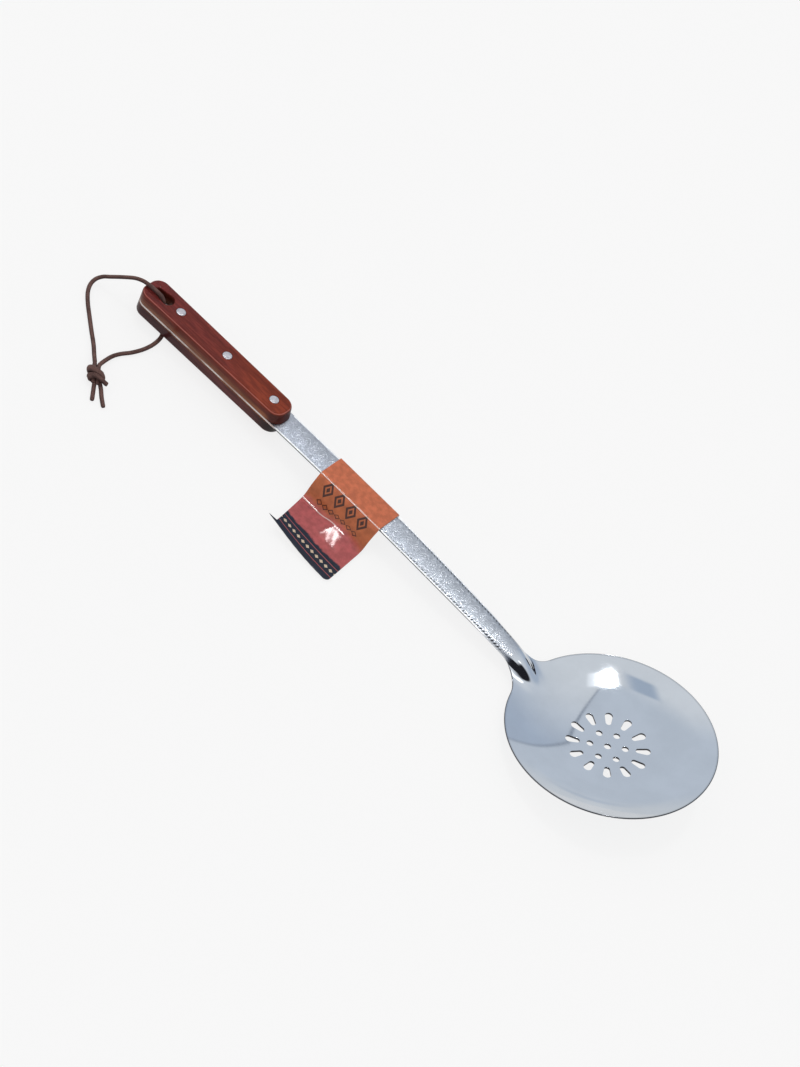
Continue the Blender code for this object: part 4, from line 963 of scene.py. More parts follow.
def scroll_relief(blade, grip, u, v):
    """Height of the embossing above the sheet, and how deep a point lies in a border notch, from 0 to 1.

    A stem swings from side to side as a cosine. Each bend holds a spiral curl, where the radius
    grows evenly with the angle, and a leaf of three lobes. A row of slanted notches runs by each edge.
    """
    along = neck_x(blade) - u
    pitch = blade.scroll_pitch
    reach = blade.scroll_reach
    half = blade.scroll_line
    bend = np.floor(along / pitch)
    t = along - (bend + 0.5) * pitch
    w = v * np.where(bend % 2 == 0, 1.0, -1.0)
    stem = ridge(w - reach * np.cos(math.pi * t / pitch), half)

    curl_t = t - CURL_SHIFT * pitch
    curl_w = w + CURL_OFFSET * reach
    radius = np.hypot(curl_t, curl_w)
    wind = radius / blade.curl_spacing - np.arctan2(curl_w, curl_t) / TAU
    curl = ridge((wind - np.round(wind)) * blade.curl_spacing, half)
    curl *= 1.0 - smooth_step((radius - blade.curl_radius) / half)

    leaf = np.zeros_like(u)
    for lobe in (-1.0, 0.0, 1.0):
        lobe_t = np.abs(t) - LEAF_SHIFT * pitch - lobe * LOBE_STEP
        lobe_w = w + (LEAF_OFFSET - LOBE_BEND * lobe * lobe) * reach
        lean = lobe_t - LOBE_LEAN * lobe * lobe_w
        leaf = np.maximum(leaf, ridge(lean, LOBE_HALF_WIDTH) * ridge(lobe_w, LOBE_HALF_LENGTH))
    ornament = np.maximum(np.maximum(stem, curl), leaf)

    inset = half_width(blade, grip, u) - np.abs(v) - blade.notch_inset
    phase = (along + NOTCH_SLANT * inset) / blade.notch_pitch
    notch = ridge(inset, NOTCH_HALF_WIDTH) * smooth_step(NOTCH_SHARE + np.cos(TAU * phase))
    notch *= 1.0 - NOTCH_LOSS * smooth_step(along / blade.notch_fade)
    within = smooth_step((inset - SCROLL_MARGIN) / SCROLL_MARGIN_FADE)
    window = smooth_step((along - SCROLL_START) / SCROLL_START_FADE)
    window = window * smooth_step((blade.shank_length - along) / SCROLL_END_FADE)
    return window * blade.scroll_height * ornament * within, window * notch


def eye_outline(grip, rear_end, growth):
    """Outline of the hanging eye, grown outwards, for a grip whose end is at rear_end."""
    rear = (rear_end + grip.eye_from_end + grip.eye_rear, 0.0)
    front = (rear_end + grip.eye_from_end + grip.eye_length - grip.eye_front, 0.0)
    return tapered_slot(front, grip.eye_front + growth, rear, grip.eye_rear + growth)


def rivet_places(grip, rear_end):
    """Places of the rivets along the grip, rear one first."""
    return rear_end + grip.rear_rivet + grip.rivet_spacing * np.arange(len(RIVET_NAMES))


def grip_cuts(grip, rear_end):
    """Places half way between neighbouring rivets, and between rear rivet and eye, front one first."""
    places = rivet_places(grip, rear_end)
    eye_front = rear_end + grip.eye_from_end + grip.eye_length
    return 0.5 * (places + np.concatenate(((eye_front,), places[:-1])))[::-1]


def shank_shares():
    """Places across the shank from 1 to -1, closer together at its edges: sin(a t) / sin(a)."""
    spread = np.linspace(1.0, -1.0, SHANK_COLUMNS + 1)
    return np.sin(SHANK_CROWDING * spread) / math.sin(SHANK_CROWDING)


def circle(centre, radius):
    """A finely divided circle as an outline."""
    return arc(centre, radius, 0.0, TAU, 2 * OUTLINE_STEPS)[:-1]


def towards(angle):
    """Unit vector at an angle in plan."""
    return np.array((math.cos(angle), math.sin(angle)))


def sector(inner_radius, outer_radius, start, end, inner_steps, side_steps, outer_steps):
    """Border of a ring's sector, anticlockwise from its inner start corner."""
    outer = arc((0.0, 0.0), outer_radius, start, end, outer_steps)
    inner = arc((0.0, 0.0), inner_radius, end, start, inner_steps)
    out = line(inner[-1], outer[0], side_steps)
    back = line(outer[-1], inner[0], side_steps)
    return np.vstack((out[:-1], outer[:-1], back[:-1], inner[:-1]))


def bowl_plan(blade):
    """Plan of the bowl as grids: round each hole from its edge to its sector's border, then to the rim."""
    growth = blade.hole_round
    first = blade.pattern_turn
    middle = (0.0, 0.0)
    loops = [
        (
            circle(middle, 0.5 * blade.centre_diameter + growth),
            arc(middle, blade.inner_border, first, first + TAU, INNER_HOLE_COUNT * SECTOR_STEPS)[:-1],
        )
    ]
    ring = TAU / INNER_HOLE_COUNT
    for index in range(INNER_HOLE_COUNT):
        start = first + index * ring
        hole = circle(blade.hole_ring * towards(start + 0.5 * ring), 0.5 * blade.hole_diameter + growth)
        border = sector(
            blade.inner_border, blade.middle_border, start, start + ring,
            SECTOR_STEPS, HOLE_SIDE_STEPS, 2 * SECTOR_STEPS,
        )
        loops.append((hole, border))
    ring = TAU / SLOT_COUNT
    for index in range(SLOT_COUNT):
        turned_to = first + index * ring
        outer = (blade.slot_ring + 0.5 * blade.slot_length - blade.slot_outer) * towards(turned_to)
        inner = (blade.slot_ring - 0.5 * blade.slot_length + blade.slot_inner) * towards(turned_to)
        hole = tapered_slot(outer, blade.slot_outer + growth, inner, blade.slot_inner + growth)
        border = sector(
            blade.middle_border, blade.outer_border, turned_to - 0.5 * ring, turned_to + 0.5 * ring,
            SECTOR_STEPS, SLOT_SIDE_STEPS, SECTOR_STEPS,
        )
        loops.append((hole, border))
    patches = [between(facing(hole, border), border, HOLE_ROWS) for hole, border in loops]
    return patches + rim_plan(blade)


def rim_plan(blade):
    """The bowl outside the slots, whose lines fan closer together at the neck, and the neck itself.

    The neck is a Coons patch between the rim's arc, the two fillets and the shank's first row.
    """
    fillet_u, fillet_v = fillet_centre(blade)
    opening = math.pi - math.atan2(fillet_v, fillet_u)
    step = TAU / RIM_STEPS
    start = blade.pattern_turn - 0.5 * TAU / SLOT_COUNT
    count = np.arange(RIM_STEPS + 1)
    neck_first = round((math.pi - start) / step - 0.5 * NECK_STEPS)
    neck_last = neck_first + NECK_STEPS
    stops = (neck_last - RIM_STEPS, neck_first, neck_last, neck_first + RIM_STEPS)
    angles = (opening - math.pi, math.pi - opening, math.pi + opening, 3.0 * math.pi - opening)
    rim_angle = np.interp(count, stops, angles)
    rim_radius = blade.bowl_radius - blade.edge_round
    row = np.linspace(0.0, 1.0, BOWL_ROWS + 1)[:, None]
    angle = start + step * count + smooth_step(row) * (rim_angle - start - step * count)
    radius = blade.outer_border + row * (rim_radius - blade.outer_border)
    bowl = np.stack((radius * np.cos(angle), radius * np.sin(angle)), axis=-1)

    fillet = blade.neck_fillet + blade.edge_round
    left = arc((fillet_u, fillet_v), fillet, -opening, -QUARTER, FILLET_ROWS)
    right = left * (1.0, -1.0)
    rim = bowl[-1, neck_first : neck_last + 1]
    shank = np.column_stack((np.full(NECK_STEPS + 1, left[-1, 0]), left[-1, 1] * shank_shares()))
    t = np.linspace(0.0, 1.0, FILLET_ROWS + 1)[:, None, None]
    s = np.linspace(0.0, 1.0, NECK_STEPS + 1)[None, :, None]
    ruled = (1.0 - t) * rim + t * shank + (1.0 - s) * left[:, None] + s * right[:, None]
    corners = (1.0 - t) * ((1.0 - s) * rim[0] + s * rim[-1]) + t * ((1.0 - s) * shank[0] + s * shank[-1])
    return [bowl, ruled - corners]


def shank_plan(blade, grip):
    """The shank as rows across it, and the tang as grids round its rivet holes and eye."""
    growth = blade.edge_round
    front = grip_front(blade)
    rear = front - grip.length_along
    u = np.linspace(fillet_centre(blade)[0], front, SHANK_ROWS + 1)[:, None]
    across = shank_shares()
    v = (half_width(blade, grip, u) - growth) * across
    patches = [np.stack((np.broadcast_to(u, v.shape), v), axis=-1)]

    splits = (front, *grip_cuts(grip, rear))
    bore = 0.5 * grip.rivet_tube + grip.rivet_clearance + growth
    holes = [circle((place, 0.0), bore) for place in rivet_places(grip, rear)[::-1]]
    holes.append(eye_outline(grip, rear, growth))

    def side(start, end):
        along = np.linspace(start, end, TANG_SIDE_STEPS + 1)
        return np.column_stack((along, growth - half_width(blade, grip, along)))

    def crossing(place):
        half = half_width(blade, grip, np.array(place)) - growth
        return np.column_stack((np.full(SHANK_COLUMNS + 1, place), half * across))

    corner = rear + grip.corner_radius
    corner_v = half_width(blade, grip, np.array(corner)) - grip.corner_radius
    corner_radius = grip.corner_radius - growth
    lower = arc((corner, -corner_v), corner_radius, 3.0 * QUARTER, 2.0 * QUARTER, TANG_CORNER_STEPS)
    rounded_end = resampled(np.vstack((lower, lower[::-1] * (1.0, -1.0))), SHANK_COLUMNS)
    for index, hole in enumerate(holes):
        last = index == len(holes) - 1
        end = corner if last else splits[index + 1]
        far = rounded_end if last else crossing(end)[::-1]
        near_side = side(splits[index], end)
        far_side = near_side[::-1] * (1.0, -1.0)
        border = np.vstack((crossing(splits[index])[:-1], near_side[:-1], far[:-1], far_side[:-1]))
        patches.append(between(facing(hole, border), border, TANG_ROWS))
    return patches


def free_edges(plan, quads):
    """Starts and ends of the edges with a face on one side only, and the way out at each point."""
    count = len(plan)
    start = quads.ravel()
    end = np.roll(quads, -1, axis=1).ravel()
    free = ~np.isin(start * count + end, end * count + start)
    start = start[free]
    end = end[free]
    edge = unit(plan[end] - plan[start])
    outward = np.zeros_like(plan)
    for ends in (start, end):
        np.add.at(outward, ends, np.column_stack((edge[:, 1], -edge[:, 0])))
    return start, end, outward


def blade_surface(blade, grip):
    """The finished stamping as points, faces, normals and the numbers its material reads.

    The plan's points are pressed to shape and moved half the thickness along the normal to each
    side. Every free edge is closed by half an ellipse from the upper to the lower side.
    """
    plan, quads = joined(bowl_plan(blade) + shank_plan(blade, grip))
    corner = plan[quads]
    diagonal = corner[:, 2] - corner[:, 0]
    other = corner[:, 3] - corner[:, 1]
    clockwise = diagonal[:, 0] * other[:, 1] - diagonal[:, 1] * other[:, 0] < 0.0
    quads[clockwise] = quads[clockwise, ::-1]
    u, v = plan.T
    middle = sheet_middle(blade, u, v)
    normal, along, across = sheet_normals(blade, u, v, sheet_middle)
    half = 0.5 * sheet_thickness(blade, u, v)[:, None]
    scroll, notch = scroll_relief(blade, grip, u, v)
    relief = (scroll - blade.notch_depth * notch)[:, None]

    def embossed(sizes, a, b):
        raised_line, cut = scroll_relief(sizes, grip, a, b)
        return sheet_middle(sizes, a, b) + (raised_line - sizes.notch_depth * cut)[..., None] * normal

    embossed_normal = sheet_normals(blade, u, v, embossed)[0]

    start, end, outward = free_edges(plan, quads)
    rim = np.unique(start)
    bulge = unit(outward[rim, :1] * along[rim] + outward[rim, 1:] * across[rim])
    swing = np.linspace(QUARTER, -QUARTER, EDGE_ROWS + 1)[1:-1, None, None]
    in_hole = (np.hypot(u, v) < blade.outer_border)[rim]
    in_grip = (u[rim] < grip_front(blade)).astype(float)
    on_shank = smooth_step((neck_x(blade) + SATIN_LEAD - u) / SATIN_RUN)
    bare = on_shank[rim] * (1.0 - in_grip)
    rounding = np.where(in_hole, blade.hole_round, blade.edge_round)[:, None]
    rounded = middle[rim] + np.cos(swing) * rounding * bulge + np.sin(swing) * half[rim] * normal[rim]
    tilt = np.sin(swing) * (rounding * (1.0 - bare[:, None]))
    rounded_normal = unit(np.cos(swing) * half[rim] * bulge + tilt * normal[rim])

    count = len(plan)
    ring = 2 * count + np.arange((EDGE_ROWS - 1) * len(rim)).reshape(EDGE_ROWS - 1, -1)
    ring = np.vstack((rim, ring, rim + count))
    a = ring[:, np.searchsorted(rim, start)]
    b = ring[:, np.searchsorted(rim, end)]
    strip = np.stack((b[:-1], a[:-1], a[1:], b[1:]), axis=-1).reshape(-1, 4)
    upper = middle + (half + relief) * normal
    points = np.concatenate((upper, middle - half * normal, rounded.reshape(-1, 3)))
    normals = np.concatenate((embossed_normal, -normal, rounded_normal.reshape(-1, 3)))
    faces = np.concatenate((quads, quads[:, ::-1] + count, strip))

    # Painted shade on the lower rounding of the shank's edge and a painted highlight on its upper rounding.
    # Painted shade also darkens the hole walls, the bowl's rim edges and rim face, and the notches.
    turned_down = smooth_step((EDGE_GLINT_LEVEL - np.sin(swing[:, :, 0])) / EDGE_BLEND)
    edge_shade = np.where(in_hole, 1.0, RIM_EDGE_SHADE * (1.0 - bare) * (1.0 - in_grip))
    rim_shade = np.where(in_hole, 0.0, RIM_FACE_SHADE * (1.0 - on_shank[rim]))
    face_shade = np.minimum(NOTCH_SHADE * notch, 1.0)
    face_shade[rim] = np.maximum(face_shade[rim], rim_shade)
    # Painted highlight along the outer edge of the shank's face.
    margin = half_width(blade, grip, u) - np.abs(v) - blade.edge_round
    face_glint = smooth_step((FACE_GLINT_WIDTH - margin) / FACE_GLINT_BLEND) * on_shank * (u > grip_front(blade))
    blank = np.zeros(count)
    no_edge = np.zeros_like(rounded[..., 0])
    # Two of these marks are painted light. One paints shade on edges, holes and notches. The other paints a
    # highlight on the shank's upper edge.
    marks = {
        "satin": (on_shank, on_shank, no_edge + on_shank[rim] * (1.0 - bare)),
        "painted_shade": (face_shade, blank, np.maximum(edge_shade, bare * turned_down)),
        "relief": (scroll / blade.scroll_height, blank, no_edge),
        "tarnish": (blank, blank, no_edge + in_grip),
        "sheared": (face_glint, blank, bare * (1.0 - turned_down)),
    }
    marks = {name: np.concatenate([part.ravel() for part in parts]) for name, parts in marks.items()}
    return points, faces, normals, marks


class SKIMMER_OT_blade(bpy.types.Operator):
    """Press the steel blade with its perforations, ribbed neck and embossed shank"""

    bl_idname = "skimmer.blade"
    bl_label = "Blade"

    def execute(self, context):
        blade = context.scene.skimmer_blade
        points, faces, normals, marks = blade_surface(blade, context.scene.skimmer_grip)
        piece = add_piece(
            "steel_blade", on_ground(points) + TOOL_PLACE, faces, TOOL_BODY,
            ("blade",), steel_finish(blade),
        )
        for name, values in marks.items():
            add_attribute(piece, name, values)
        piece.data.normals_split_custom_set_from_vertices(on_ground(normals).tolist())
        return {"FINISHED"}


def shank_frame(blade, distance):
    """A function that takes points from a frame on the shank's middle line to where the tool lies."""
    x, z, angle = shank_line(blade, np.array(distance))
    cosine = math.cos(angle)
    sine = math.sin(angle)

    def place(points):
        along = x + cosine * points[..., 0] + sine * points[..., 2]
        up = z - sine * points[..., 0] + cosine * points[..., 2]
        return on_ground(np.stack((along, points[..., 1], up), axis=-1)) + TOOL_PLACE

    return place


def raised(outline, height):
    """A plan outline at a height."""
    return np.column_stack((outline, np.full(len(outline), height)))


def grip_rim(blade, grip, inset, lean):
    """Closed plan of a scale: front end, near side, rear end and far side, drawn in by inset.

    Corners are quarter circles and the sides are straight, cut at the stations between the rivets.
    """
    radius = grip.corner_radius - inset
    front_x = -grip.corner_radius - lean
    rear_x = -grip.length_along + grip.corner_radius
    ends = half_width(blade, grip, grip_front(blade) + np.array((front_x, rear_x))) - grip.corner_radius
    front = arc((front_x, ends[0]), radius, QUARTER, 0.0, CAP_STEPS)
    straight = line(front[-1], front[-1] * (1.0, -1.0), CAP_LINE_STEPS)
    front = np.vstack((front[:-1], straight[:-1], front[::-1] * (1.0, -1.0)))
    rear = arc((rear_x, -ends[1]), radius, -QUARTER, -math.pi, CAP_STEPS)
    straight = line(rear[-1], rear[-1] * (1.0, -1.0), CAP_LINE_STEPS)
    rear = np.vstack((rear[:-1], straight[:-1], rear[::-1] * (1.0, -1.0)))
    stations = (front_x, *grip_cuts(grip, -grip.length_along), rear_x)
    steps = np.arange(len(stations)) * SCALE_SIDE_STEPS
    x = np.interp(np.arange(steps[-1] + 1), steps, stations)
    y = np.interp(x, (rear_x, front_x), (-ends[1] - radius, -ends[0] - radius))
    near = np.column_stack((x, y))
    far = near[::-1] * (1.0, -1.0)
    return np.vstack((front[:-1], near[:-1], rear[:-1], far[:-1]))


def grip_sections(rim):
    """A scale's plan cut across into the borders of sections, one for each rivet and one for the eye."""
    cap = 2 * CAP_STEPS + CAP_LINE_STEPS
    step = SCALE_SIDE_STEPS
    last = len(RIVET_NAMES)
    loop = np.vstack((rim, rim[:1]))
    rear = cap + (last + 1) * step
    sections = []
    for index in range(last + 1):
        near = loop[cap + index * step : cap + (index + 1) * step + 1]
        far_end = len(rim) - index * step
        far = loop[far_end - step : far_end + 1]
        start = line(far[-1], near[0], SCALE_CROSS_STEPS) if index else loop[: cap + 1]
        end = line(near[-1], far[0], SCALE_CROSS_STEPS) if index < last else loop[rear : rear + cap + 1]
        sections.append(np.vstack((start[:-1], near[:-1], end[:-1], far[:-1])))
    return sections


def scale_patches(blade, grip):
    """A grip scale above the tang as grids: rounded wall, outer face, seat, and the walls of its holes.

    Each point carries how near it is to the middle of the rounded arris.
    """
    seat = 0.5 * blade.thickness + grip.seat_gap
    face = seat + grip.scale_thickness
    swing = np.linspace(0.0, QUARTER, ROUNDING_STEPS + 1)
    heights = grip.scale_thickness - grip.edge_radius * (1.0 - np.sin(swing))
    insets = grip.edge_radius * (1.0 - np.cos(swing))
    rims = [raised(grip_rim(blade, grip, 0.0, 0.0), seat)]
    for inset, height in zip(insets, heights):
        lean = grip.front_lean * height / grip.scale_thickness
        rims.append(raised(grip_rim(blade, grip, inset, lean), seat + height))
    patches = [closed_rings(rims)]

    bore = 0.5 * grip.rivet_tube + grip.rivet_clearance
    recess = 0.5 * grip.rivet_head + grip.recess_gap
    ledge = face - grip.rivet_head_thickness - grip.rivet_clearance
    places = rivet_places(grip, -grip.length_along)[::-1]
    tops = grip_sections(rims[-1][:, :2])
    bases = grip_sections(rims[0][:, :2])
    for index, (top, base) in enumerate(zip(tops, bases)):
        if index < len(places):
            at = (places[index], 0.0)
            wide = facing(circle(at, recess), top)
            narrow = facing(circle(at, bore), top)
            rings = [raised(wide, face), raised(wide, ledge), raised(narrow, ledge)]
            rings.append(raised(facing(circle(at, bore), base), seat))
        else:
            rings = []
            for angle in swing:
                lip = eye_outline(grip, -grip.length_along, grip.eye_lip * (1.0 - math.sin(angle)))
                rings.append(raised(facing(lip, top), face - grip.eye_lip * (1.0 - math.cos(angle))))
            rings.append(raised(facing(eye_outline(grip, -grip.length_along, 0.0), base), seat))
        patches.append(closed_rings(rings))
        patches.append(between(rings[0], raised(top, face), SCALE_ROWS))
        patches.append(between(rings[-1], raised(base, seat), SCALE_ROWS))
    patches = [np.concatenate((patch, np.zeros_like(patch[..., :1])), axis=-1) for patch in patches]
    patches[0][1:, :, 3] = np.sin(2.0 * swing)[:, None]
    return patches


class SKIMMER_OT_grip(bpy.types.Operator):
    """Shape the two lacquered wooden scales of the grip"""

    bl_idname = "skimmer.grip"
    bl_label = "Grip scales"

    def execute(self, context):
        blade = context.scene.skimmer_blade
        grip = context.scene.skimmer_grip
        shader = wood_finish(grip)
        place = shank_frame(blade, blade.shank_length)
        points, faces = joined(scale_patches(blade, grip))
        seat = 0.5 * blade.thickness + grip.seat_gap
        level = (points[:, 2] - seat) / grip.scale_thickness
        for label, side in (("upper", 1.0), ("lower", -1.0)):
            piece = add_piece(
                f"wood_scale_{label}", place(points[:, :3] * (1.0, 1.0, side)), faces, TOOL_BODY,
                (f"{label}_scale",), shader, SHARP_ANGLE,
            )
            add_attribute(piece, "level", side * level)
            add_attribute(piece, "edge", points[:, 3] * (side > 0.0))
        return {"FINISHED"}


def turned(profile, x):
    """A profile of radius and height carried round the vertical line at x."""
    angle = np.linspace(0.0, TAU, ROUND_STEPS + 1)
    radius, height = np.asarray(profile).T[..., None]
    return np.stack((x + radius * np.cos(angle), radius * np.sin(angle), height + 0.0 * angle), axis=-1)


def rivet_head(grip, face):
    """Profile of a flush head from its crown to its rim: a shallow dome with a rounded edge."""
    head = 0.5 * grip.rivet_head
    flat = head - RIVET_EDGE
    radius = np.linspace(0.0, flat, DOME_STEPS + 1)
    dome = np.column_stack((radius, face + grip.rivet_dome * (1.0 - (radius / head) ** 2)))
    rim = arc((flat, dome[-1, 1] - RIVET_EDGE), RIVET_EDGE, QUARTER, 0.0, HEAD_EDGE_STEPS)
    return np.vstack((dome[:-1], rim))


def rivet_profiles(blade, grip):
    """Profiles of the two rivet halves: a head with a pin, and a head with the tube round that pin."""
    face = 0.5 * blade.thickness + grip.seat_gap + grip.scale_thickness
    head = 0.5 * grip.rivet_head
    tube = 0.5 * grip.rivet_tube
    pin = 0.5 * grip.rivet_pin
    bore = pin + grip.rivet_clearance
    under = face - grip.rivet_head_thickness
    tip = under - grip.rivet_clearance
    crown = rivet_head(grip, face)
    top = np.vstack((crown, ((head, under), (pin, under), (pin, -tip), (0.0, -tip))))
    inside = ((0.0, -under), (bore, -under), (bore, tip), (tube, tip), (tube, -under), (head, -under))
    base = np.vstack((inside, crown[::-1] * (1.0, -1.0)))
    return {"top": top, "base": base}


class SKIMMER_OT_rivets(bpy.types.Operator):
    """Turn the halves of the three rivets"""

    bl_idname = "skimmer.rivets"
    bl_label = "Rivets"

    def execute(self, context):
        blade = context.scene.skimmer_blade
        grip = context.scene.skimmer_grip
        shader = rivet_finish(grip)
        place = shank_frame(blade, blade.shank_length)
        for label, x in zip(RIVET_NAMES, rivet_places(grip, -grip.length_along)):
            for half, profile in rivet_profiles(blade, grip).items():
                points, faces = joined([turned(profile, x)])
                add_piece(
                    f"turned_rivet_{label}_{half}", place(points), faces, TOOL_BODY,
                    (f"{label}_rivet_{half}",), shader, SHARP_ANGLE,
                )
        return {"FINISHED"}


def rounded_path(corners, radii, steps):
    """A line through corners, each replaced by an arc of its radius that touches both sides."""
    parts = [corners[:1]]
    for before, corner, after, radius in zip(corners[:-2], corners[1:-1], corners[2:], radii):
        back = unit(before - corner)
        ahead = unit(after - corner)
        half = 0.5 * math.acos(np.clip(back @ ahead, -1.0, 1.0))
        centre = corner + unit(back + ahead) * radius / math.sin(half)
        first = corner + back * radius / math.tan(half) - centre
        last = corner + ahead * radius / math.tan(half) - centre
        start = math.atan2(first[1], first[0])
        swing = math.atan2(first[0] * last[1] - first[1] * last[0], first @ last)
        parts.append(arc(centre, radius, start, start + swing, steps))
    return np.vstack(parts + [corners[-1:]])


def card_path(blade, grip, sleeve, ground):
    """The sleeve's section from its front end over the shank and back below it, at even steps.

    The card bulges by a squared sine where it comes down from the shank to the front bend.
    """
    widest = half_width(blade, grip, np.array(grip_front(blade) + sleeve.from_grip))
    half = widest + sleeve.clearance + 0.5 * sleeve.thickness
    over = 0.5 * blade.thickness + sleeve.clearance + 0.5 * sleeve.thickness
    low = ground + sleeve.ground_gap + 0.5 * sleeve.thickness
    high = low + sleeve.thickness + sleeve.layer_gap
    corners = np.array(
        (
            (-half - sleeve.front_reach, high),
            (-half - sleeve.front_bend, high),
            (-half, over),
            (half, over),
            (half, -over - sleeve.under_slack),
            (-half - sleeve.back_bend, low),
            (-half - sleeve.back_reach, low),
        )
    )
    fold = sleeve.fold_radius
    radii = (sleeve.bend_radius, fold, fold, fold, sleeve.bend_radius)
    path = resampled(rounded_path(corners, radii, ROUNDING_STEPS), CARD_PATH_STEPS)
    slope = corners[2] - corners[1]
    on_front = np.arange(len(path)) < np.argmax(path[:, 0] > 0.0)
    down = np.clip((path - corners[1]) @ slope / (slope @ slope), 0.0, 1.0)
    outward = unit(np.array((-slope[1], slope[0])))
    path = path + (on_front * sleeve.slope_bulge * np.sin(math.pi * down) ** 2)[:, None] * outward
    near_fold = np.argmin(np.linalg.norm(path - corners[2], axis=1))
    return path, on_front, half, near_fold


def card_buckle(sleeve, rows, x, outward):
    """Height of the crumple in the front panel over the distance from its end and the place across it.

    A slope climbs, levels out and comes down along the panel, times exp(-((x - middle) / half)^4)
    across it. Two crossing trains of sine waves grow with the distance outward from the shank.
    """

    def past(start, run):
        return smooth_step((rows - start) / run)

    slope = past(*BUCKLE_CLIMB) * (1.0 - past(*BUCKLE_LEVEL))
    climb = np.cumsum(math.tan(sleeve.buckle_lean) * slope * np.gradient(rows))
    climb = climb * (1.0 - past(*BUCKLE_END))
    buckle = climb[:, None] * np.exp(-(((x - BUCKLE_MIDDLE) / BUCKLE_HALF_WIDTH) ** 4))
    waves = [np.sin((a * x + b * rows[:, None]) * TAU / length) for a, b, length in RIPPLES]
    return buckle + sleeve.ripple * sum(waves) * outward[:, None]


def card_patches(blade, grip, sleeve, ground):
    """The sleeve as two skins a card's thickness apart and the strips that close their edges.

    Each point carries its distance from the near fold, its place along the shank and which skin it is.
    """
    path, on_front, half, fold = card_path(blade, grip, sleeve, ground)
    along = lengths_along(path)
    corner = sleeve.corner_radius
    rounding = corner * (1.0 - np.cos(np.linspace(0.0, QUARTER, ROUNDING_STEPS + 1)))
    rows = np.concatenate((rounding, np.linspace(corner, along[-1], CARD_ROWS)[1:]))
    y, z = [np.interp(rows, along, values) for values in path.T]
    tangent = unit(np.column_stack((np.gradient(y), np.gradient(z))))
    front = rows < along[np.argmin(on_front)]
    outward = np.clip((-half - y) / sleeve.front_reach, 0.0, 1.0)

    skew = np.where(front, sleeve.front_skew, sleeve.back_skew) * outward
    width = sleeve.length_along - np.where(front, sleeve.front_narrowing, 0.0) * outward
    hidden = smooth_step((rows - along[np.argmax(path[:, 0])]) / CARD_NARROWING_RUN)
    width = width - 2.0 * sleeve.return_inset * hidden
    cut = np.maximum(corner - rows, 0.0)
    trimmed = corner - np.sqrt(np.maximum(corner**2 - cut**2, 0.0))
    share_along = np.linspace(-0.5, 0.5, CARD_COLUMNS + 1)
    x = skew[:, None] + share_along * width[:, None] - trimmed[:, None] * (share_along + 0.5)
    lift = (np.where(front, sleeve.corner_lift, 0.0) * outward**2)[:, None]
    rise = lift * np.maximum(0.5 - share_along, 0.0) ** 2
    rise = rise + card_buckle(sleeve, rows, x, np.where(front, outward, 0.0))
    tongue = np.maximum(1.0 - rows / TONGUE_RUN, 0.0)[:, None] * (0.5 - share_along) ** TONGUE_POWER
    rise = rise + TONGUE_RISE * sleeve.tongue * tongue
    x = x - sleeve.tongue * tongue

    distance = (rows - along[fold])[:, None]
    skins = []
    for side in (0.5, -0.5):
        skin_y = (y - side * sleeve.thickness * tangent[:, 1])[:, None]
        skin_z = (z + side * sleeve.thickness * tangent[:, 0])[:, None] + rise
        channels = (x, skin_y, skin_z, distance, x - skew[:, None], 0.5 + side)
        skins.append(np.stack(np.broadcast_arrays(*channels), axis=-1))
    upper, lower = skins
    strips = [np.stack((upper[cut_at], lower[cut_at])) for cut_at in (0, -1)]
    strips += [np.stack((upper[:, cut_at], lower[:, cut_at])) for cut_at in (0, -1)]
    return [upper, lower] + strips


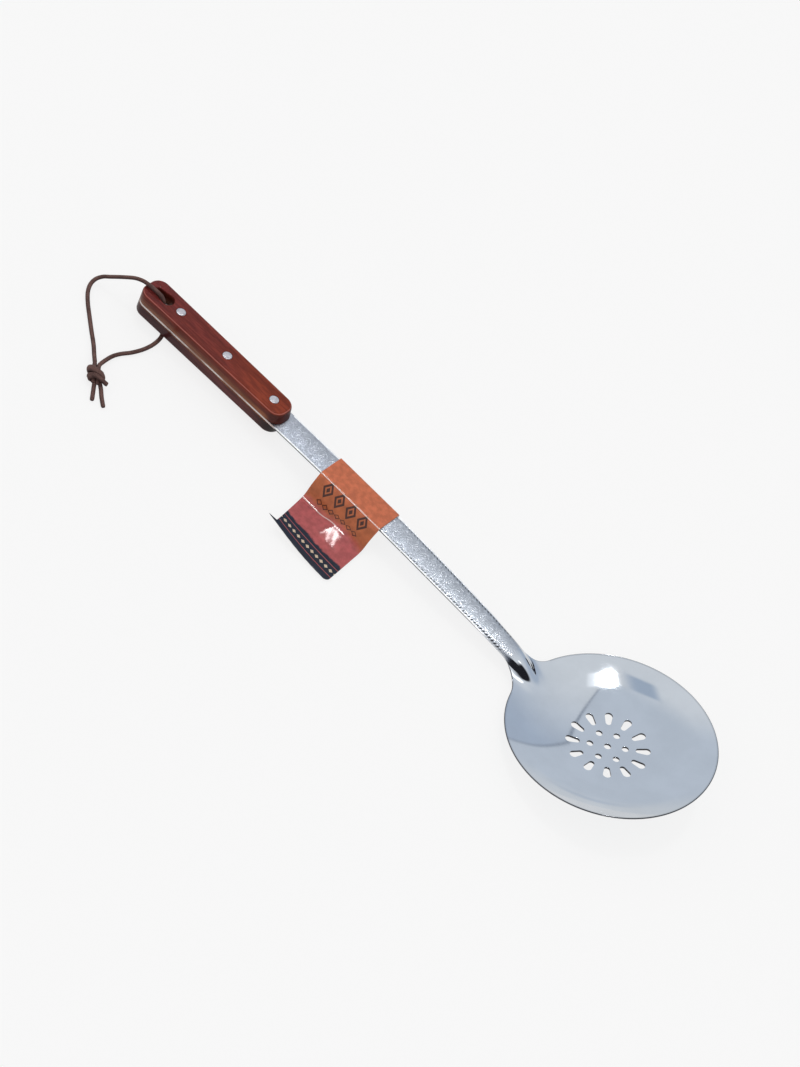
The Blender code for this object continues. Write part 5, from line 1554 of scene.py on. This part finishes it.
def card_finish(sleeve):
    """Glossy printed card: orange, rose and navy fields, a row of nested lozenges, dots and fine lines."""
    finish = Finish("printed_card")
    s = finish.attribute("print_along")
    x = finish.attribute("print_across")
    ragged = s + (finish.noise(160.0, 5.0) - 0.5) * 0.006
    mottle = finish.noise(260.0, 5.0).ramp(0.3, 0.7)
    fibre = finish.noise(700.0, 4.0)

    def mottled(colour):
        return finish.mix(mottle, scaled(colour, 0.82), scaled(colour, 1.12))

    def lozenge(pitch, centre, half, shift):
        cell = finish.math("FRACT", x / pitch + (FIRST_LOZENGE + shift))
        return abs(cell - 0.5) * 2.0 + abs(s - centre) / half

    def band(value, low, high, soft=PRINT_EDGE):
        return value.ramp(low - soft, low + soft) * value.ramp(high - soft, high + soft, 1.0, 0.0)

    # The slope colour is painted shade on the orange print where the card slopes down.
    field = finish.mix(ragged.ramp(*ROSE_TO_SLOPE), mottled(sleeve.rose), mottled(sleeve.slope))
    field = finish.mix(s.ramp(*SLOPE_TO_ORANGE), field, mottled(sleeve.orange))
    field = finish.mix(ragged.ramp(*NAVY_TO_ROSE), mottled(sleeve.navy), field)
    large = lozenge(*LARGE_LOZENGES)
    nested = band(large, 0.50, 0.84, 0.03).larger(band(large, -1.0, 0.28, 0.03)) * band(x, *LARGE_ROW)
    chain = band(lozenge(*CHAIN_LOZENGES), 0.62, 1.0, 0.04) * band(x, *CHAIN_ROW)
    dots = band(lozenge(*SMALL_LOZENGES), -1.0, 0.75, 0.06)
    lines = band(s, *OUTER_LINE).larger(band(s, *INNER_LINE))
    # The crease line is partly a worn crease and partly a painted highlight along the ground bend.
    crease = band(s, *CREASE) * band(x, *CREASE_ROW, CREASE_END)
    layers = (
        (nested.larger(chain) * 0.9, sleeve.ink),
        (dots * 0.85, sleeve.cream),
        (lines * 0.8, sleeve.rose),
        (band(s, *WORN_FOLD) * 0.75, sleeve.worn),
        (crease * 0.6, sleeve.worn),
    )
    for cover, ink in layers:
        field = finish.mix(cover, field, ink)
    return finish.set(
        base_color=finish.mix(finish.attribute("printed"), sleeve.bare, field),
        roughness=fibre.ramp(0.2, 0.8, 0.30, 0.42), normal=finish.bump(fibre, 0.12, 0.00004),
        coat_weight=0.4, coat_roughness=0.05, specular_ior_level=0.1,
    )


class SKIMMER_OT_sleeve(bpy.types.Operator):
    """Fold the printed card sleeve round the shank"""

    bl_idname = "skimmer.sleeve"
    bl_label = "Card sleeve"

    def execute(self, context):
        blade = context.scene.skimmer_blade
        sleeve = context.scene.skimmer_sleeve
        distance = blade.shank_length - sleeve.from_grip - 0.5 * sleeve.length_along
        place = shank_frame(blade, distance)
        ground = -place(np.zeros(3))[2]
        points, faces = joined(card_patches(blade, context.scene.skimmer_grip, sleeve, ground))
        piece = add_piece(
            "card_sleeve", place(points[:, :3]), faces, SLEEVE_BODY,
            ("label_sleeve",), card_finish(sleeve), SHARP_ANGLE,
        )
        for channel, name in enumerate(("print_along", "print_across", "printed"), start=3):
            add_attribute(piece, name, points[:, channel])
        return {"FINISHED"}


def smooth_route(route):
    """Points at even spacing on a Catmull-Rom curve through the points of a route."""
    route = np.asarray(route)
    ends = np.vstack((2.0 * route[0] - route[1], route, 2.0 * route[-1] - route[-2]))[:, None]
    a, b, c, d = ends[:-3], ends[1:-2], ends[2:-1], ends[3:]
    t = np.linspace(0.0, 1.0, ROUTE_STEPS, endpoint=False)[None, :, None]
    bend = (2.0 * a - 5.0 * b + 4.0 * c - d) * t**2 + (3.0 * b - a - 3.0 * c + d) * t**3
    fine = np.vstack(((b + 0.5 * ((c - a) * t + bend)).reshape(-1, 3), route[-1:]))
    return resampled(fine, max(LEAST_STATIONS, round(lengths_along(fine)[-1] / LACE_STATION)))


def lace_tube(lace, path, across=None, spread=1.0):
    """An oval section carried along a path, with its ends cut square and slightly rounded.

    The wide side lies level, or follows the direction across, and is pressed broader by spread.
    Each point carries its distance along the lace and how far up the section it is.
    """
    tangent = unit(np.gradient(path, axis=0))
    if across is None:
        level = np.cross(UPWARD, tangent)
    else:
        level = across - (tangent @ across)[:, None] * tangent
    level = unit(level)
    upright = np.cross(tangent, level)
    last = len(path) - 1
    station = np.concatenate(((0, 0), np.arange(1, last), (last, last)))
    swell = np.ones((len(station), 1, 1))
    swell[[0, -1]] = 0.0
    swell[[1, -2]] = LACE_END_SHARE
    angle = np.linspace(0.0, TAU, LACE_SIDES + 1)[None, :, None]
    out = 0.5 * spread * lace.width * np.cos(angle) * level[station][:, None]
    up = 0.5 * lace.height * np.sin(angle) * upright[station][:, None]
    points = path[station][:, None] + swell * (out + up)
    along = np.broadcast_to(lengths_along(path)[station][:, None, None], points.shape[:2] + (1,))
    height = np.broadcast_to(0.5 + 0.5 * np.sin(angle), points.shape[:2] + (1,))
    return np.concatenate((points, along, height), axis=-1)


def leather_finish(lace):
    """Brown leather: a painted highlight in patches along its upper side, dark on the raw edges, with fine
    creases.
    """
    finish = Finish("brown_leather")
    grain = finish.noise(1500.0, 4.0, 0.65)
    patches = finish.noise(130.0, 3.0)
    crease = finish.noise(1.0, 2.0, stretch=(700.0, 700.0, 700.0))
    body = finish.mix(grain.ramp(0.35, 0.7), lace.leather_dark, lace.leather)
    # Painted highlight on the upper side of the lace, broken into patches.
    worn = finish.attribute("upper").ramp(0.62, 1.0) * patches.ramp(0.3, 0.65, 0.25, 0.8)
    rings = finish.math("SINE", finish.attribute("along") * 5200.0)
    return finish.set(
        base_color=finish.mix(worn, body, lace.leather_top_sheen),
        roughness=grain.ramp(0.2, 0.8, 0.46, 0.68),
        normal=finish.bump(grain + rings * crease * 0.25, 0.45, 0.00012),
        specular_ior_level=0.2,
    )


def lace_origin(blade, grip):
    """Ground below the middle of the eye's wide end, and the way from the grip's frame to the ground's."""
    place = shank_frame(blade, blade.shank_length)
    eye = -grip.length_along + grip.eye_from_end + grip.eye_length - grip.eye_front
    middle = place(np.array((eye, 0.0, 0.0)))
    return np.array((middle[0], 0.0, 0.0)), eye, place


def lace_routes(blade, grip):
    """Routes of the two strands from inside the eye to the knot, and of the two loose ends."""
    origin, eye, place = lace_origin(blade, grip)
    face = 0.5 * blade.thickness + grip.seat_gap + grip.scale_thickness

    def on_grip(places, side):
        local = np.array(places) * MM
        return place(np.column_stack((eye + local[:, 0], local[:, 1], side * (face + local[:, 2]))))

    def beside(places):
        return origin + np.array(places) * MM

    meeting = ((*LACE_MEETING, 0.5 * grip.seat_gap / MM - face / MM),)
    over = np.vstack((on_grip(meeting + LACE_EYE_TOP + LACE_OVER_GRIP, 1.0), beside(LACE_OVER_ROUTE)))
    under = np.vstack((on_grip(meeting + LACE_EYE_BASE, -1.0), beside(LACE_UNDER_ROUTE)))
    return over, under, beside(LONG_TAIL_ROUTE), beside(SHORT_TAIL_ROUTE)


def knot_tubes(lace, origin):
    """Tubes of the knot in a frame whose first axis runs from the strands to the loose ends.

    A slanting turn goes round the bundle, another leans the other way below it, a strand crosses
    beside the first turn and ends in a cut stub, and two strands run through the middle.
    """
    axis = np.array((math.cos(lace.knot_turn), math.sin(lace.knot_turn), 0.0))
    side = np.array((-axis[1], axis[0], 0.0))
    place = origin + np.array(KNOT_PLACE) * MM

    def at(points):
        along, across, height = np.asarray(points).T[..., None] * MM
        return place + along * axis + across * side + height * UPWARD

    swing = np.linspace(*KNOT_SWING, KNOT_POINTS)
    tubes = []
    for middle, cosine, sine in KNOT_TURNS:
        wound = np.array(middle) + np.outer(np.cos(swing), cosine) + np.outer(np.sin(swing), sine)
        tubes.append(lace_tube(lace, at(wound), -axis, TURN_SPREAD))
    tubes.append(lace_tube(lace, smooth_route(at(KNOT_CROSSING)), -axis, CROSSING_SPREAD))
    return tubes + [lace_tube(lace, smooth_route(at(strand))) for strand in KNOT_STRANDS]


def add_lace(name, patches, nodes, shader):
    """A leather piece from its tubes, with the numbers its material reads."""
    points, faces = joined(patches)
    piece = add_piece(name, points[:, :3], faces, TOOL_BODY, nodes, shader, SHARP_ANGLE)
    add_attribute(piece, "along", points[:, 3])
    add_attribute(piece, "upper", points[:, 4])
    return piece


class SKIMMER_OT_lace(bpy.types.Operator):
    """Lay the leather lace through the eye, with its knot and two loose ends"""

    bl_idname = "skimmer.lace"
    bl_label = "Lace"

    def execute(self, context):
        blade = context.scene.skimmer_blade
        grip = context.scene.skimmer_grip
        lace = context.scene.skimmer_lace
        shader = leather_finish(lace)
        routes = [smooth_route(route) for route in lace_routes(blade, grip)]
        names = ("over", "under", "tail_long", "tail_short")
        over, under, long_tail, short_tail = [
            add_lace(f"leather_{name}", [lace_tube(lace, route)], (f"lace_{name}",), shader)
            for name, route in zip(names, routes)
        ]
        tubes = knot_tubes(lace, lace_origin(blade, grip)[0])
        knot = add_lace("leather_knot", tubes, ("lace_knot",), shader)
        return {"FINISHED"}


class SKIMMER_OT_stage(bpy.types.Operator):
    """Set up the camera, the pale floor and the studio light"""

    bl_idname = "skimmer.stage"
    bl_label = "Stage"

    def execute(self, context):
        stage = context.scene.skimmer_stage
        add_camera(context, stage)
        add_floor(context, stage)
        light_room(context, stage)
        context.scene.view_settings.view_transform = "Standard"
        return {"FINISHED"}


def add_camera(context, stage):
    """The camera at the picture's viewpoint."""
    data = bpy.data.cameras.new("camera")
    data.lens = stage.lens
    data.sensor_width = stage.sensor
    data.sensor_fit = "HORIZONTAL"
    camera = bpy.data.objects.new("camera", data)
    camera.location = stage.camera_place
    camera.rotation_euler = Euler(stage.camera_turn)
    context.scene.collection.objects.link(camera)
    context.scene.camera = camera


def add_floor(context, stage):
    """A pale floor: mostly its own even tone to the camera and in reflections, with a soft shadow on it."""
    half = 0.5 * stage.floor_size
    mesh = bpy.data.meshes.new("floor")
    corners = [(-half, -half, 0.0), (half, -half, 0.0), (half, half, 0.0), (-half, half, 0.0)]
    mesh.from_pydata(corners, [], [(0, 1, 2, 3)])
    floor = bpy.data.objects.new("floor", mesh)
    context.scene.collection.objects.link(floor)
    finish = Finish("floor_paper")
    glow = finish.add(
        "ShaderNodeEmission", 0, (("Color", stage.background), ("Strength", stage.floor_glow))
    )
    shaded = finish.add("ShaderNodeBsdfDiffuse", 0, (("Color", stage.floor_shade),))
    seen = finish.add("ShaderNodeAddShader", 0, ((0, glow), (1, shaded)))
    paper = finish.add("ShaderNodeBsdfDiffuse", 0, (("Color", stage.floor_paper),))
    direct = finish.ray("Camera").larger(finish.ray("Glossy")).larger(finish.ray("Transmission"))
    mixed = finish.add("ShaderNodeMixShader", 0, ((0, direct), (1, paper), (2, seen)))
    finish.feed(finish.tree.nodes["Material Output"].inputs["Surface"], mixed)
    finish.tree.nodes.remove(finish.shader)
    mesh.materials.append(finish.material)


def light_room(context, stage):
    """A pale room with brighter and dimmer fields, dark behind the camera, and a soft box above.

    Only reflections see the room. All else is lit by an even sky and the soft box.
    """
    world = bpy.data.worlds.new("room")
    world.use_nodes = True
    context.scene.world = world
    room = Finish(None, world.node_tree)
    x, y, z = room.split(room.add("ShaderNodeTexCoord", "Generated"))

    def within(value, middle, reach, edge):
        return abs(value - middle).ramp(reach - edge, reach + edge, 1.0, 0.0)

    def panel(values, field):
        first, second = [within(value, *span) for value, span in zip(values, field)]
        return first * second * z.ramp(0.3, 0.5)

    # The two walls, their joint and the pale light above, behind and near the horizon
    ahead = y.larger(LEAST_SHARE)
    lift = z / ahead
    sloping_joint, upright_joint = [place - lift * lean for place, lean in WALL_JOINTS]
    beyond = x / ahead - sloping_joint.larger(upright_joint)
    dim = room.mix(z.ramp(0.45, 0.95), stage.room_dim, stage.room_high)
    field = room.mix(beyond.ramp(-0.015, 0.015), stage.room_pale, dim)
    joint = abs(beyond).ramp(0.004, 0.02, 0.7, 0.0) * z.ramp(0.3, 0.7, 0.5, 1.0)
    field = room.mix(joint, field, stage.room_line)
    field = room.mix(y.ramp(0.05, 0.30, 1.0, 0.0), field, stage.room_high)
    field = room.mix(z.ramp(0.02, 0.20, 1.0, 0.0), field, stage.room_low)
    streak = within(z, *STREAK_FIELD[0]) * within(x, *STREAK_FIELD[1])
    field = room.mix(streak * 0.5, field, stage.room_dim)

    # The soft box's own frame, and the panel on its right
    high = z.larger(LEAST_SHARE)
    level_x = x / high
    level_y = y / high
    across = level_x - BOX_PLACE[0]
    along = level_y - BOX_PLACE[1]
    right = across * BOX_RIGHT[0] + along * BOX_RIGHT[1]
    down = across * BOX_DOWN[0] + along * BOX_DOWN[1]
    side_panel = room.mix(right.ramp(0.38, 1.05), WHITE, stage.room_panel)
    field = room.mix(panel((right, down - right * SIDE_SLANT), SIDE_FIELD), field, side_panel)

    # The dark part of the room behind the camera, a lamp and a doorway
    behind = (y * -1.0).ramp(0.20, 0.34)
    aside = x.ramp(0.25, 0.45) * y.ramp(0.10, 0.35, 1.0, 0.0)
    overhead = z.ramp(0.46, 0.58) * x.ramp(-0.14, -0.03)
    darkness = room.mix(x.ramp(0.04, 0.20), stage.room_blue, stage.room_black)
    reflected = room.mix(behind.larger(aside) * stage.dark_side * overhead, field, darkness)
    reflected = room.mix(panel((level_x, level_y), LAMP_FIELD), reflected, LAMP_LIGHT)
    doorway = y.ramp(0.90, 0.93) * within(x, *DOORWAY)
    reflected = room.mix(doorway, reflected, stage.room_black)

    # The soft box's light, which fades to the left and beyond its right and upper borders
    glossy = room.ray("Glossy")
    power = glossy.ramp(0.0, 1.0, stage.box_light, 3.0 * stage.box_light) * right.ramp(-0.10, 0.25)
    power = power + room.math("EXPONENT", (right + 0.15).smaller(1.0) * 5.0)
    outside = (-0.12 - down).larger(0.0) + (right - 0.26).larger(0.0)
    power = power * room.math("EXPONENT", outside * -20.0) * panel((right, down), BOX_FIELD)
    lit = room.mix(glossy, stage.sky, reflected)
    lit = room.add("ShaderNodeVectorMath", 0, ((0, lit), (1, power)))
    colour = room.mix(room.ray("Camera"), lit, stage.background)
    room.feed(room.tree.nodes["Background"].inputs["Color"], colour)


class SKIMMER_PT_panel(bpy.types.Panel):
    """Buttons for the pieces and their sizes"""

    bl_idname = "SKIMMER_PT_panel"
    bl_label = "Skimmer"
    bl_space_type = "VIEW_3D"
    bl_region_type = "UI"
    bl_category = "Skimmer"

    def draw(self, context):
        for operator in OPERATORS:
            self.layout.operator(operator.bl_idname)
        for name in GROUPS:
            group = getattr(context.scene, name)
            box = self.layout.box()
            for key in group.bl_rna.properties.keys():
                if key not in {"rna_type", "name"}:
                    box.prop(group, key)


GROUPS = {
    "skimmer_blade": BladeSizes,
    "skimmer_grip": GripSizes,
    "skimmer_sleeve": SleeveSizes,
    "skimmer_lace": LaceSizes,
    "skimmer_stage": StageSizes,
}
OPERATORS = (
    SKIMMER_OT_stage,
    SKIMMER_OT_lace,
    SKIMMER_OT_blade,
    SKIMMER_OT_grip,
    SKIMMER_OT_rivets,
    SKIMMER_OT_sleeve,
)
CLASSES = (*GROUPS.values(), *OPERATORS, SKIMMER_PT_panel)


def register():
    """Make the classes and the scene's property groups known."""
    for cls in CLASSES:
        bpy.utils.register_class(cls)
    for name, group in GROUPS.items():
        setattr(bpy.types.Scene, name, PointerProperty(type=group))


def unregister():
    """Take back what register does."""
    for name in GROUPS:
        delattr(bpy.types.Scene, name)
    for cls in reversed(CLASSES):
        bpy.utils.unregister_class(cls)


def main():
    """Make the classes known and build every piece."""
    register()
    bpy.ops.skimmer.stage()
    bpy.ops.skimmer.lace()
    bpy.ops.skimmer.blade()
    bpy.ops.skimmer.grip()
    bpy.ops.skimmer.rivets()
    bpy.ops.skimmer.sleeve()


if __name__ == "__main__":
    main()
